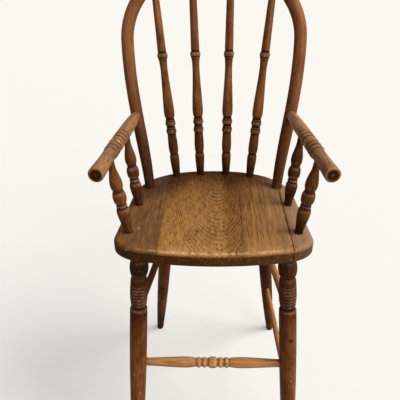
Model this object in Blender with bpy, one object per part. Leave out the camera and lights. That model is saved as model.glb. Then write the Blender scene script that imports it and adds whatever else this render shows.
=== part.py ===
"""Windsor high chair: a plank seat on turned legs, with a bent bow, back spindles and turned arms.

Metres, +Z up. The chair stands on Z = 0 and faces -Y, and its left is -X.
Every round piece ends in a tenon that sits in a blind socket, with one clearance all round.
"""
import math

import bmesh
import bpy
from mathutils import Vector
from mathutils.geometry import interpolate_bezier

# Seat: four boards edge to edge, D-shaped in plan, measured back from the middle of the front edge
SEAT_HEIGHT = 0.560
SEAT_WIDTH = 0.3568
SEAT_DEPTH = 0.322
SEAT_THICKNESS = 0.028
SEAT_WIDEST_SETBACK = 0.056
SEAT_SIDE_TAPER = 0.0109
SEAT_REAR_ROUND = 0.119
SEAT_FRONT_SAG = 0.014
SEAT_CORNER_WIDTH = 0.0424
CORNER_FRONT_HANDLE = 0.018
CORNER_SIDE_HANDLE = 0.022
SHOULDER_HANDLE = 0.072
REAR_HANDLE = 0.112
TOP_EDGE_RADIUS = 0.008
BOTTOM_EDGE_RADIUS = 0.004
LEFT_BOARD_WIDTH = 0.0824
RIGHT_BOARD_WIDTH = 0.0400
CENTRE_RIGHT_BOARD_WIDTH = 0.0857

# Joints
CLEARANCE = 0.0003
LEG_TENON_DIAMETER = 0.022
SEAT_SOCKET_FLOOR = 0.010
BOW_SOCKET_DEPTH = 0.015
STRETCHER_TENON_DEPTH = 0.014
POST_TOP_TENON_DEPTH = 0.011
ARM_TENON_DIAMETER = 0.010
ARM_TENON_PAST_CENTRE = 0.004

# Front legs: where they meet the underside of the seat, and how far their feet spread
FRONT_LEG_SIDE_INSET = 0.0425
FRONT_LEG_SETBACK = 0.042
FRONT_LEG_SPLAY = 0.038
FRONT_LEG_RAKE = 0.055
FRONT_LEG_NECK_DIAMETER = 0.0255
FRONT_LEG_NECK_LENGTH = 0.0065
LEG_BALL_LENGTH = 0.035
LEG_BALL_DIAMETER = 0.0354
RING_COUNT = 8
RING_PITCH = 0.0086
RING_LEAD_IN = 0.0022
RING_MIDDLE_DIAMETER = 0.0344
RING_END_DIAMETER = 0.0312
RING_GROOVE_DEPTH = 0.0014
COLLAR_DIAMETER = 0.0334
COLLAR_LENGTH = 0.006
FRONT_LEG_BELLY_DIAMETER = 0.0372
FRONT_LEG_CALF_DIAMETER = 0.0322
FRONT_LEG_FOOT_DIAMETER = 0.0204

# Rear legs: the left one was bored further in than the right one
LEFT_REAR_LEG_SIDE_INSET = 0.062
LEFT_REAR_LEG_SPLAY = 0.0625
RIGHT_REAR_LEG_SIDE_INSET = 0.0555
RIGHT_REAR_LEG_SPLAY = 0.0695
REAR_LEG_REAR_INSET = 0.077
REAR_LEG_RAKE = 0.1357
REAR_LEG_NECK_DIAMETER = 0.0262
REAR_LEG_BELLY_DIAMETER = 0.0340
REAR_LEG_FOOT_DIAMETER = 0.0190
LEG_ROOT_LENGTH = 0.006
FOOT_NOSE_LENGTH = 0.004
FOOT_NOSE_DIAMETER = 0.011

# Stretchers: heights above the floor, and the drop of the upper pair below the top of the seat
FRONT_STRETCHER_HEIGHT = 0.2775
FRONT_STRETCHER_END_DIAMETER = 0.0162
FRONT_STRETCHER_SWELL_DIAMETER = 0.0216
FRONT_STRETCHER_SWELL_SETBACK = 0.061
FRONT_STRETCHER_NECK_DIAMETER = 0.0170
STRETCHER_BEAD_WIDTH = 0.0115
STRETCHER_BEAD_DIAMETER = 0.0206
STRETCHER_MIDDLE_BEAD_WIDTH = 0.021
STRETCHER_MIDDLE_BEAD_DIAMETER = 0.0228
UPPER_STRETCHER_DROP = 0.154
UPPER_STRETCHER_DIAMETER = 0.0152
UPPER_STRETCHER_END_DIAMETER = 0.013
LOWER_STRETCHER_HEIGHT = 0.211
LOWER_STRETCHER_DIAMETER = 0.0136
LOWER_STRETCHER_END_DIAMETER = 0.012

# Bow: a hoop in a plane that leans back, measured along that plane from the top of the seat
BOW_REAR_INSET = 0.082
BOW_SIDE_INSET = 0.0245
BOW_LEAN = math.radians(14.0)
BOW_FLARE = 0.0340
BOW_WIDEST_HEIGHT = 0.297
BOW_ARCH = 0.145
BOW_FOOT_FLARE = 0.0085
BOW_FOOT_HANDLE = 0.100
BOW_WAIST_HANDLE = 0.110
BOW_DIAMETER = 0.0254
BOW_FOOT_DIAMETER = 0.0205
BOW_TAPER_HEIGHT = 0.130

# Back spindles: spacing across each pair, at the seat and at the bow, and the lean of the inner pair
SPINDLE_REAR_INSET = 0.0165
INNER_SPINDLE_SPACING = 0.0574
INNER_SPINDLE_TOP_SPACING = 0.0750
INNER_SPINDLE_LEAN = -0.0045
OUTER_SPINDLE_SPACING = 0.1636
OUTER_SPINDLE_TOP_SPACING = 0.2290
SPINDLE_FOOT_DIAMETER = 0.0165
SPINDLE_FOOT_LENGTH = 0.047
SPINDLE_FOOT_BELLY_DIAMETER = 0.0208
SPINDLE_GROOVE_WIDTH = 0.011
SPINDLE_GROOVE_DIAMETER = 0.0178
SPINDLE_WAIST_LENGTH = 0.040
SPINDLE_WAIST_DIAMETER = 0.0190
SPINDLE_BEAD_WIDTH = 0.009
SPINDLE_BEAD_DIAMETER = 0.0224
SPINDLE_RING_WIDTH = 0.003
SPINDLE_RING_DIAMETER = 0.0200
SPINDLE_NECK_DIAMETER = 0.0186
SPINDLE_NECK_LENGTH = 0.005
SPINDLE_BODY_DIAMETER = 0.0228
SPINDLE_BODY_SHOULDER = 0.012
SPINDLE_BODY_LENGTH = 0.104
SPINDLE_BODY_END_DIAMETER = 0.0148
SPINDLE_STEM_DIAMETER = 0.0178
SPINDLE_TOP_DIAMETER = 0.0130

# Arms: from the bow forward to a free round end
ARM_REAR_HEIGHT = 0.149
ARM_FRONT_HEIGHT = 0.159
ARM_FRONT_OVERHANG = 0.020
ARM_FRONT_INSET = 0.0042
ARM_REAR_DIAMETER = 0.0170
ARM_TAIL_LENGTH = 0.131
ARM_TAIL_END_DIAMETER = 0.0246
ARM_RING_WIDTH = 0.0135
ARM_RING_COUNT = 2
ARM_RING_DIAMETER = 0.0258
ARM_WAIST_LENGTH = 0.028
ARM_WAIST_DIAMETER = 0.0252
ARM_GRIP_NECK_DIAMETER = 0.0206
ARM_FRONT_DIAMETER = 0.0252
ARM_END_ROUND = 0.002

# Arm posts: setback on the seat, and setback of their tops from the front end of the arm. Their tops
# come up a little outside the middle of the arm
FRONT_POST_SETBACK = 0.068
FRONT_POST_SIDE_INSET = 0.0235
FRONT_POST_ARM_SETBACK = 0.081
FRONT_POST_BALL_HEIGHT = 0.0745
REAR_POST_SETBACK = 0.1665
REAR_POST_SIDE_INSET = 0.0215
REAR_POST_ARM_SETBACK = 0.1995
POST_TOP_SHIFT = 0.002
REAR_POST_BALL_HEIGHT = 0.0695
POST_FOOT_DIAMETER = 0.0150
POST_BULB_DROP = 0.028
POST_BULB_DIAMETER = 0.0238
POST_BULB_SHOULDER = 0.009
POST_RING_WIDTH = 0.004
POST_RING_DIAMETER = 0.0198
POST_NECK_DIAMETER = 0.0172
POST_NECK_LENGTH = 0.003
POST_BALL_LENGTH = 0.024
POST_BALL_DIAMETER = 0.0242
POST_VASE_SHOULDER = 0.011
POST_VASE_DIAMETER = 0.0222
POST_TOP_DIAMETER = 0.0126

# Old wood screw in the front of the right front leg, measured down from the upper rungs
SCREW_DROP = 0.056
SCREW_TURN = math.radians(17.0)
SCREW_HEAD_DIAMETER = 0.0105
SCREW_HEAD_HEIGHT = 0.0026
SCREW_CROWN_DIAMETER = 0.006
SCREW_SINK = 0.0014
SCREW_SHANK_DIAMETER = 0.005
SCREW_TIP_DIAMETER = 0.0025
SCREW_LENGTH = 0.020
SCREW_SLOT_WIDTH = 0.0014
SCREW_SLOT_DEPTH = 0.0011
SCREW_SLOT_TURN = math.radians(40.0)

# Fineness of the solids
LEG_SIDES = 12
TURNED_SIDES = 12
ROD_SIDES = 10
CURVE_STEPS = 4
BALL_STEPS = 6
BEAD_STEPS = 4
RING_STEPS = 2
TOP_EDGE_STEPS = 3
BOTTOM_EDGE_STEPS = 2
BOW_SIDE_STEPS = 9
BOW_ARCH_STEPS = 11
BOW_BEVEL_RESOLUTION = 3
OUTLINE_STEPS = 8
WELD_DISTANCE = 1e-6
SMOOTH_ANGLE = math.radians(35.0)
QUARTER_ELLIPSE_HANDLE = 0.5523
ROUND_PROFILE = 0.5
FLOOR_BLOCK_SIZE = 2.0

# Finishes, as linear colours
SEAT_BROWN = (0.240, 0.110, 0.037)
LEG_BROWN = (0.118, 0.045, 0.017)
BACK_BROWN = (0.150, 0.057, 0.021)
ARM_BROWN = (0.250, 0.125, 0.055)
RUNG_BROWN = (0.330, 0.150, 0.052)
DARK_STEEL = (0.035, 0.031, 0.028)
WOOD_ROUGHNESS = 0.45
STEEL_ROUGHNESS = 0.55

SEAT_UNDERSIDE = SEAT_HEIGHT - SEAT_THICKNESS
UPPER_STRETCHER_HEIGHT = SEAT_HEIGHT - UPPER_STRETCHER_DROP
SCREW_HEIGHT = UPPER_STRETCHER_HEIGHT - SCREW_DROP
SEAT_SOCKET_DEPTH = SEAT_THICKNESS - SEAT_SOCKET_FLOOR
HALF_SEAT = SEAT_WIDTH / 2
SIDES = {"left": -1, "right": 1}
REAR_LEG_STANCE = {
    -1: (LEFT_REAR_LEG_SIDE_INSET, LEFT_REAR_LEG_SPLAY),
    1: (RIGHT_REAR_LEG_SIDE_INSET, RIGHT_REAR_LEG_SPLAY),
}


def material(name, colour, roughness, metallic):
    finish = bpy.data.materials.new(name)
    finish.use_nodes = True
    shader = finish.node_tree.nodes["Principled BSDF"]
    shader.inputs["Base Color"].default_value = (*colour, 1.0)
    shader.inputs["Roughness"].default_value = roughness
    shader.inputs["Metallic"].default_value = metallic
    return finish


def add_piece(name, mesh, colour, roughness=WOOD_ROUGHNESS, metallic=0.0):
    """A real piece of the chair, with its own finish."""
    mesh.shade_smooth()
    mesh.set_sharp_from_angle(angle=SMOOTH_ANGLE)
    mesh.materials.append(material(name + "_finish", colour, roughness, metallic))
    piece = bpy.data.objects.new(name, mesh)
    bpy.context.collection.objects.link(piece)
    piece.parent = chair
    return piece


def add_cutter(name, mesh):
    """A shape that only bores or trims other pieces."""
    cutter = bpy.data.objects.new(name, mesh)
    bpy.context.collection.objects.link(cutter)
    cutter.parent = chair
    cutter.hide_render = True
    cutter.display_type = "WIRE"
    return cutter


def combine(piece, other, operation="DIFFERENCE"):
    boolean = piece.modifiers.new(operation.lower() + "_" + other.name, "BOOLEAN")
    boolean.operation = operation
    boolean.solver = "EXACT"
    boolean.object = other


def finish_mesh(name, bm):
    bmesh.ops.remove_doubles(bm, verts=bm.verts, dist=WELD_DISTANCE)
    bmesh.ops.recalc_face_normals(bm, faces=bm.faces)
    mesh = bpy.data.meshes.new(name)
    bm.to_mesh(mesh)
    bm.free()
    return mesh


def place_along(piece, start, end):
    """Lay a piece that was turned about +Z along the line from start to end."""
    piece.location = start
    piece.rotation_euler = (end - start).to_track_quat("Z", "Y").to_euler()


class Turning:
    """A lathe profile cut in one direction, as (distance along the axis, radius) points."""

    def __init__(self, start, diameter):
        self.points = [(start, diameter / 2)]

    def run(self, length, diameter):
        """Straight or evenly tapered length."""
        along, _ = self.points[-1]
        self.points.append((along + length, diameter / 2))

    def reach(self, position, diameter):
        """Straight or evenly tapered length up to a position on the axis."""
        self.run(position - self.points[-1][0], diameter)

    def curve(self, length, first, second, diameter):
        """Smooth length that is drawn towards two handle diameters on its way to the last one."""
        along, radius = self.points[-1]
        start = Vector((along, radius))
        end = Vector((along + length, diameter / 2))
        near = Vector((along + length / 3, first / 2))
        far = Vector((along + 2 * length / 3, second / 2))
        steps = interpolate_bezier(start, near, far, end, CURVE_STEPS + 1)
        self.points += [tuple(step) for step in steps[1:]]

    def bead(self, width, diameter, steps=BEAD_STEPS):
        """Half-round bead that starts and ends on the present diameter."""
        along, radius = self.points[-1]
        for step in range(1, steps + 1):
            turn = math.pi * step / steps
            rise = (diameter / 2 - radius) * math.sin(turn)
            self.points.append((along + width * (1 - math.cos(turn)) / 2, radius + rise))

    def groove(self, width, diameter):
        """V-shaped groove that ends on the diameter it started from."""
        start = self.points[-1][1] * 2
        self.run(width / 2, diameter)
        self.run(width / 2, start)

    def radius_at(self, position):
        for (low, low_radius), (high, high_radius) in zip(self.points, self.points[1:]):
            if low <= position <= high and high > low:
                return low_radius + (high_radius - low_radius) * (position - low) / (high - low)
        return self.points[-1][1]


def turned_mesh(name, points, sides, growth=0.0):
    """Turn a profile round +Z. Growth is added all round, for boring the matching socket."""
    growth_at_corners = growth / math.cos(math.pi / sides)
    first, last = points[0][0] - growth, points[-1][0] + growth
    profile = [(along, radius + growth_at_corners) for along, radius in points]
    profile[0] = (first, profile[0][1])
    profile[-1] = (last, profile[-1][1])
    bm = bmesh.new()
    verts = [bm.verts.new((radius, 0.0, along)) for along, radius in [(first, 0.0), *profile, (last, 0.0)]]
    edges = [bm.edges.new(pair) for pair in zip(verts, verts[1:])]
    bmesh.ops.spin(
        bm, geom=verts + edges, cent=(0, 0, 0), axis=(0, 0, 1), angle=2 * math.pi, steps=sides, use_merge=True
    )
    return finish_mesh(name, bm)


def socket_borer(name, turning, sides, start, end):
    borer = add_cutter(name + "_borer", turned_mesh(name + "_borer", turning.points, sides, CLEARANCE))
    place_along(borer, start, end)
    return borer


def turned_piece(name, turning, sides, start, end, colour, roughness=WOOD_ROUGHNESS, metallic=0.0):
    """A turned piece along a line, and the grown copy of it that bores its sockets."""
    piece = add_piece(name, turned_mesh(name, turning.points, sides), colour, roughness, metallic)
    place_along(piece, start, end)
    return piece, socket_borer(name, turning, sides, start, end)


# Seat plan

def seat_half_outline():
    """Right half of the plan, from the middle of the front edge round to the middle of the rear edge."""
    front_end = HALF_SEAT - SEAT_CORNER_WIDTH
    front_radius = (front_end ** 2 + SEAT_FRONT_SAG ** 2) / (2 * SEAT_FRONT_SAG)
    front_angle = math.asin(front_end / front_radius)
    front = []
    for step in range(OUTLINE_STEPS):
        angle = front_angle * step / OUTLINE_STEPS
        front.append(Vector((front_radius * math.sin(angle), front_radius * (1 - math.cos(angle)))))
    corner_start = Vector((front_end, SEAT_FRONT_SAG))
    front_direction = Vector((math.cos(front_angle), math.sin(front_angle)))
    widest = Vector((HALF_SEAT, SEAT_WIDEST_SETBACK))
    shoulder = Vector((HALF_SEAT - SEAT_SIDE_TAPER, SEAT_DEPTH - SEAT_REAR_ROUND))
    side_direction = (shoulder - widest).normalized()
    corner = interpolate_bezier(
        corner_start,
        corner_start + front_direction * CORNER_FRONT_HANDLE,
        widest - side_direction * CORNER_SIDE_HANDLE,
        widest,
        OUTLINE_STEPS + 1,
    )
    rear_middle = Vector((0.0, SEAT_DEPTH))
    rear = interpolate_bezier(
        shoulder,
        shoulder + side_direction * SHOULDER_HANDLE,
        rear_middle + Vector((REAR_HANDLE, 0.0)),
        rear_middle,
        2 * OUTLINE_STEPS + 1,
    )
    return front, [Vector(point) for point in corner], [Vector(point) for point in rear]


def between(points, value, given, wanted):
    """Follow a line of points to where one coordinate has a value, and read the other there."""
    for low, high in zip(points, points[1:]):
        if min(low[given], high[given]) <= value <= max(low[given], high[given]):
            share = (value - low[given]) / (high[given] - low[given])
            return low[wanted] + (high[wanted] - low[wanted]) * share
    return min(points[0], points[-1], key=lambda end: abs(end[given] - value))[wanted]


FRONT_PLAN, CORNER_PLAN, REAR_PLAN = seat_half_outline()
SIDE_PLAN = CORNER_PLAN + REAR_PLAN


def seat_half_width(setback):
    return between(SIDE_PLAN, setback, 1, 0)


def seat_rear_edge(across):
    return between(REAR_PLAN, across, 0, 1)


def seat_blank():
    """The whole plank with its rounded edges, before it is parted into boards."""
    right = FRONT_PLAN + CORNER_PLAN + REAR_PLAN
    left = [Vector((-point.x, point.y)) for point in reversed(right[1:-1])]
    bm = bmesh.new()
    ring = [bm.verts.new((point.x, point.y, 0.0)) for point in right + left]
    bottom = bm.faces.new(ring)
    raised = bmesh.ops.extrude_face_region(bm, geom=[bottom])["geom"]
    top_verts = {item for item in raised if isinstance(item, bmesh.types.BMVert)}
    bmesh.ops.translate(bm, vec=(0.0, 0.0, SEAT_THICKNESS), verts=list(top_verts))
    bmesh.ops.recalc_face_normals(bm, faces=bm.faces)
    top_edges = [edge for edge in bm.edges if all(vert in top_verts for vert in edge.verts)]
    bottom_edges = [edge for edge in bm.edges if not any(vert in top_verts for vert in edge.verts)]
    for edges, radius, steps in (
        (top_edges, TOP_EDGE_RADIUS, TOP_EDGE_STEPS),
        (bottom_edges, BOTTOM_EDGE_RADIUS, BOTTOM_EDGE_STEPS),
    ):
        bmesh.ops.bevel(
            bm,
            geom=edges,
            offset=radius,
            offset_type="OFFSET",
            segments=steps,
            profile=ROUND_PROFILE,
            affect="EDGES",
        )
    return bm


def seat_board(name, low, high):
    """The part of the plank between two seams. An outer board has a seam on one side only."""
    bm = seat_blank()
    for across, normal in ((low, -1), (high, 1)):
        if across is None:
            continue
        plane = (across - normal * CLEARANCE / 2, 0.0, 0.0)
        everything = bm.verts[:] + bm.edges[:] + bm.faces[:]
        bmesh.ops.bisect_plane(
            bm, geom=everything, plane_co=plane, plane_no=(normal, 0, 0), clear_outer=True
        )
        rim = [edge for edge in bm.edges if edge.is_boundary]
        bmesh.ops.holes_fill(bm, edges=rim, sides=0)
    board = add_piece(name, finish_mesh(name, bm), SEAT_BROWN)
    board.location = (0.0, 0.0, SEAT_UNDERSIDE)
    return board


# Legs

def front_leg_turning(length):
    turning = Turning(-SEAT_SOCKET_DEPTH, LEG_TENON_DIAMETER)
    turning.reach(LEG_ROOT_LENGTH, LEG_TENON_DIAMETER)
    turning.run(FRONT_LEG_NECK_LENGTH, FRONT_LEG_NECK_DIAMETER)
    turning.bead(LEG_BALL_LENGTH, LEG_BALL_DIAMETER, BALL_STEPS)
    swell = RING_MIDDLE_DIAMETER - RING_END_DIAMETER
    turning.run(RING_LEAD_IN, RING_END_DIAMETER - 2 * RING_GROOVE_DEPTH)
    for ring in range(RING_COUNT):
        crest = RING_END_DIAMETER + swell * math.sin(math.pi * (ring + 0.5) / RING_COUNT)
        trough = RING_END_DIAMETER + swell * math.sin(math.pi * (ring + 1) / RING_COUNT)
        turning.run(RING_PITCH / 2, crest)
        turning.run(RING_PITCH / 2, trough - 2 * RING_GROOVE_DEPTH)
    turning.run(COLLAR_LENGTH / 2, COLLAR_DIAMETER)
    turning.run(COLLAR_LENGTH, COLLAR_DIAMETER)
    shaft = length - FOOT_NOSE_LENGTH - turning.points[-1][0]
    turning.curve(shaft, FRONT_LEG_BELLY_DIAMETER, FRONT_LEG_CALF_DIAMETER, FRONT_LEG_FOOT_DIAMETER)
    turning.run(2 * FOOT_NOSE_LENGTH, FOOT_NOSE_DIAMETER)
    return turning


def rear_leg_turning(length):
    turning = Turning(-SEAT_SOCKET_DEPTH, LEG_TENON_DIAMETER)
    turning.reach(LEG_ROOT_LENGTH, LEG_TENON_DIAMETER)
    turning.run(LEG_ROOT_LENGTH, REAR_LEG_NECK_DIAMETER)
    shaft = length - FOOT_NOSE_LENGTH - turning.points[-1][0]
    turning.curve(shaft, REAR_LEG_BELLY_DIAMETER, REAR_LEG_BELLY_DIAMETER, REAR_LEG_FOOT_DIAMETER)
    turning.run(2 * FOOT_NOSE_LENGTH, FOOT_NOSE_DIAMETER)
    return turning


def front_leg_line(side):
    across = seat_half_width(FRONT_LEG_SETBACK) - FRONT_LEG_SIDE_INSET
    top = Vector((side * across, FRONT_LEG_SETBACK, SEAT_UNDERSIDE))
    foot = Vector((side * (across + FRONT_LEG_SPLAY), FRONT_LEG_SETBACK - FRONT_LEG_RAKE, 0.0))
    return top, foot


def rear_leg_line(side):
    side_inset, splay = REAR_LEG_STANCE[side]
    setback = SEAT_DEPTH - REAR_LEG_REAR_INSET
    across = seat_half_width(setback) - side_inset
    top = Vector((side * across, setback, SEAT_UNDERSIDE))
    foot = Vector((side * (across + splay), setback + REAR_LEG_RAKE, 0.0))
    return top, foot


def point_at_height(line, height):
    top, foot = line
    return top + (foot - top) * (top.z - height) / (top.z - foot.z)


def leg_radius(line, turning, height):
    return turning.radius_at((point_at_height(line, height) - line[0]).length)


# Stretchers

def front_stretcher_turning(length):
    """Built from one end to the middle, then mirrored."""
    half = length / 2
    beads = STRETCHER_MIDDLE_BEAD_WIDTH / 2 + 2 * STRETCHER_BEAD_WIDTH
    turning = Turning(0.0, FRONT_STRETCHER_END_DIAMETER)
    turning.run(STRETCHER_TENON_DEPTH, FRONT_STRETCHER_END_DIAMETER)
    swell = half - FRONT_STRETCHER_SWELL_SETBACK - STRETCHER_TENON_DEPTH
    turning.curve(
        swell, FRONT_STRETCHER_END_DIAMETER, FRONT_STRETCHER_SWELL_DIAMETER, FRONT_STRETCHER_SWELL_DIAMETER
    )
    turning.curve(
        FRONT_STRETCHER_SWELL_SETBACK - beads,
        FRONT_STRETCHER_SWELL_DIAMETER,
        FRONT_STRETCHER_SWELL_DIAMETER,
        FRONT_STRETCHER_NECK_DIAMETER,
    )
    turning.bead(STRETCHER_BEAD_WIDTH, STRETCHER_BEAD_DIAMETER)
    turning.bead(STRETCHER_BEAD_WIDTH, STRETCHER_BEAD_DIAMETER)
    far_side = [(length - along, radius) for along, radius in reversed(turning.points)]
    turning.bead(STRETCHER_MIDDLE_BEAD_WIDTH, STRETCHER_MIDDLE_BEAD_DIAMETER)
    turning.points[-1:] = far_side
    return turning


def side_stretcher_turning(length, diameter, end_diameter):
    turning = Turning(0.0, end_diameter)
    turning.run(STRETCHER_TENON_DEPTH, end_diameter)
    turning.curve(length - 2 * STRETCHER_TENON_DEPTH, diameter, diameter, end_diameter)
    turning.run(STRETCHER_TENON_DEPTH, end_diameter)
    return turning


def upper_stretcher_turning(length):
    return side_stretcher_turning(length, UPPER_STRETCHER_DIAMETER, UPPER_STRETCHER_END_DIAMETER)


def lower_stretcher_turning(length):
    return side_stretcher_turning(length, LOWER_STRETCHER_DIAMETER, LOWER_STRETCHER_END_DIAMETER)


def stretcher_line(near_leg, far_leg, height):
    """A level line from inside one leg to inside the other, a tenon's depth below each surface."""
    _, near_line, near_turning = near_leg
    _, far_line, far_turning = far_leg
    near = point_at_height(near_line, height)
    far = point_at_height(far_line, height)
    along = (far - near).normalized()
    start = near + along * (leg_radius(near_line, near_turning, height) - STRETCHER_TENON_DEPTH)
    end = far - along * (leg_radius(far_line, far_turning, height) - STRETCHER_TENON_DEPTH)
    return start, end


def add_stretcher(name, near_leg, far_leg, height, shape):
    """A rung between two legs, which are bored for its ends."""
    start, end = stretcher_line(near_leg, far_leg, height)
    turning = shape((end - start).length)
    rung, borer = turned_piece(name, turning, ROD_SIDES, start, end, RUNG_BROWN)
    combine(near_leg[0], borer)
    combine(far_leg[0], borer)
    return rung


def bore_empty_sockets(name, near_leg, far_leg, height, shape):
    """Two legs bored for a rung that is not there."""
    start, end = stretcher_line(near_leg, far_leg, height)
    borer = socket_borer(name, shape((end - start).length), ROD_SIDES, start, end)
    combine(near_leg[0], borer)
    combine(far_leg[0], borer)


# Bow

BOW_SETBACK = SEAT_DEPTH - BOW_REAR_INSET
BOW_FOOT_ACROSS = seat_half_width(BOW_SETBACK) - BOW_SIDE_INSET
BOW_HALF_WIDTH = BOW_FOOT_ACROSS + BOW_FLARE
BOW_RISE = BOW_WIDEST_HEIGHT + BOW_ARCH


def bow_point(across, up):
    """A place in the leaning plane of the bow."""
    return Vector((across, BOW_SETBACK + up * math.sin(BOW_LEAN), SEAT_HEIGHT + up * math.cos(BOW_LEAN)))


def bow_half_path():
    """Right half of the centreline, as (across, up) in the plane of the bow, from the seat to the top."""
    foot = Vector((BOW_FOOT_ACROSS, 0.0))
    widest = Vector((BOW_HALF_WIDTH, BOW_WIDEST_HEIGHT))
    top = Vector((0.0, BOW_RISE))
    side = interpolate_bezier(
        foot,
        foot + Vector((BOW_FOOT_FLARE, BOW_FOOT_HANDLE)),
        widest - Vector((0.0, BOW_WAIST_HANDLE)),
        widest,
        BOW_SIDE_STEPS + 1,
    )
    arch = interpolate_bezier(
        widest,
        widest + Vector((0.0, BOW_ARCH * QUARTER_ELLIPSE_HANDLE)),
        top + Vector((BOW_HALF_WIDTH * QUARTER_ELLIPSE_HANDLE, 0.0)),
        top,
        BOW_ARCH_STEPS + 1,
    )
    return [Vector(point) for point in [*side, *arch[1:]]]


BOW_HALF_PATH = bow_half_path()


def bow_radius(up):
    share = min(max(up / BOW_TAPER_HEIGHT, 0.0), 1.0)
    return (BOW_FOOT_DIAMETER + (BOW_DIAMETER - BOW_FOOT_DIAMETER) * share) / 2


def bow_mesh(name, growth=0.0):
    foot_direction = (BOW_HALF_PATH[0] - BOW_HALF_PATH[1]).normalized()
    tenon_end = BOW_HALF_PATH[0] + foot_direction * (SEAT_SOCKET_DEPTH + growth)
    right = [tenon_end, *BOW_HALF_PATH]
    path = right + [Vector((-point.x, point.y)) for point in reversed(right[:-1])]
    curve = bpy.data.curves.new(name + "_path", "CURVE")
    curve.dimensions = "3D"
    curve.bevel_depth = 1.0
    curve.bevel_resolution = BOW_BEVEL_RESOLUTION
    curve.use_fill_caps = True
    spline = curve.splines.new("POLY")
    spline.points.add(len(path) - 1)
    for place, point in zip(path, spline.points):
        point.co = (*bow_point(place.x, place.y), 1.0)
        point.radius = bow_radius(place.y) + growth
    guide = bpy.data.objects.new(name + "_guide", curve)
    bpy.context.collection.objects.link(guide)
    swept = guide.evaluated_get(bpy.context.evaluated_depsgraph_get()).to_mesh()
    bm = bmesh.new()
    bm.from_mesh(swept)
    bpy.data.objects.remove(guide)
    return finish_mesh(name, bm)


# Back spindles

def spindle_turning(length):
    """Length runs from the top of the seat to the centreline of the bow."""
    bow_entry = length - BOW_DIAMETER
    turning = Turning(-SEAT_SOCKET_DEPTH, SPINDLE_FOOT_DIAMETER)
    turning.reach(0.0, SPINDLE_FOOT_DIAMETER)
    turning.curve(
        SPINDLE_FOOT_LENGTH, SPINDLE_FOOT_DIAMETER, SPINDLE_FOOT_BELLY_DIAMETER, SPINDLE_FOOT_BELLY_DIAMETER
    )
    turning.groove(SPINDLE_GROOVE_WIDTH, SPINDLE_GROOVE_DIAMETER)
    turning.run(SPINDLE_WAIST_LENGTH, SPINDLE_WAIST_DIAMETER)
    for _ in range(2):
        turning.bead(SPINDLE_BEAD_WIDTH, SPINDLE_BEAD_DIAMETER)
        turning.bead(SPINDLE_RING_WIDTH, SPINDLE_RING_DIAMETER, RING_STEPS)
        turning.run(SPINDLE_NECK_LENGTH, SPINDLE_NECK_DIAMETER)
    turning.run(SPINDLE_BODY_SHOULDER, SPINDLE_BODY_DIAMETER)
    turning.run(SPINDLE_BODY_LENGTH, SPINDLE_BODY_END_DIAMETER)
    turning.bead(2 * SPINDLE_RING_WIDTH, SPINDLE_RING_DIAMETER, RING_STEPS)
    turning.bead(SPINDLE_BEAD_WIDTH, SPINDLE_BEAD_DIAMETER)
    turning.run(SPINDLE_NECK_LENGTH, SPINDLE_STEM_DIAMETER)
    turning.reach(bow_entry, SPINDLE_TOP_DIAMETER)
    turning.reach(length - BOW_DIAMETER / 2 + BOW_SOCKET_DEPTH, SPINDLE_TOP_DIAMETER)
    return turning


def spindle_line(foot_across, top_across):
    foot = Vector((foot_across, seat_rear_edge(abs(foot_across)) - SPINDLE_REAR_INSET, SEAT_HEIGHT))
    arch = BOW_ARCH * math.sqrt(1.0 - (top_across / BOW_HALF_WIDTH) ** 2)
    return foot, bow_point(top_across, BOW_WIDEST_HEIGHT + arch)


# Arms and their posts

def arm_line(side):
    """From the centreline of the bow to the middle of the free front end."""
    up = ARM_REAR_HEIGHT / math.cos(BOW_LEAN)
    across = between(BOW_HALF_PATH[:BOW_SIDE_STEPS + 1], up, 1, 0)
    front_across = HALF_SEAT - ARM_FRONT_INSET
    front = Vector((side * front_across, -ARM_FRONT_OVERHANG, SEAT_HEIGHT + ARM_FRONT_HEIGHT))
    return bow_point(side * across, up), front


def arm_turning(length):
    turning = Turning(0.0, ARM_REAR_DIAMETER)
    turning.curve(ARM_TAIL_LENGTH, ARM_TAIL_END_DIAMETER, ARM_TAIL_END_DIAMETER, ARM_TAIL_END_DIAMETER)
    for _ in range(ARM_RING_COUNT):
        turning.bead(ARM_RING_WIDTH, ARM_RING_DIAMETER, RING_STEPS)
    turning.curve(ARM_WAIST_LENGTH, ARM_WAIST_DIAMETER, ARM_WAIST_DIAMETER, ARM_TAIL_END_DIAMETER)
    for _ in range(ARM_RING_COUNT):
        turning.bead(ARM_RING_WIDTH, ARM_RING_DIAMETER, RING_STEPS)
    grip = length - ARM_END_ROUND - turning.points[-1][0]
    turning.curve(grip, ARM_GRIP_NECK_DIAMETER, ARM_FRONT_DIAMETER, ARM_FRONT_DIAMETER)
    turning.run(ARM_END_ROUND, ARM_FRONT_DIAMETER - 2 * ARM_END_ROUND)
    return turning


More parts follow.
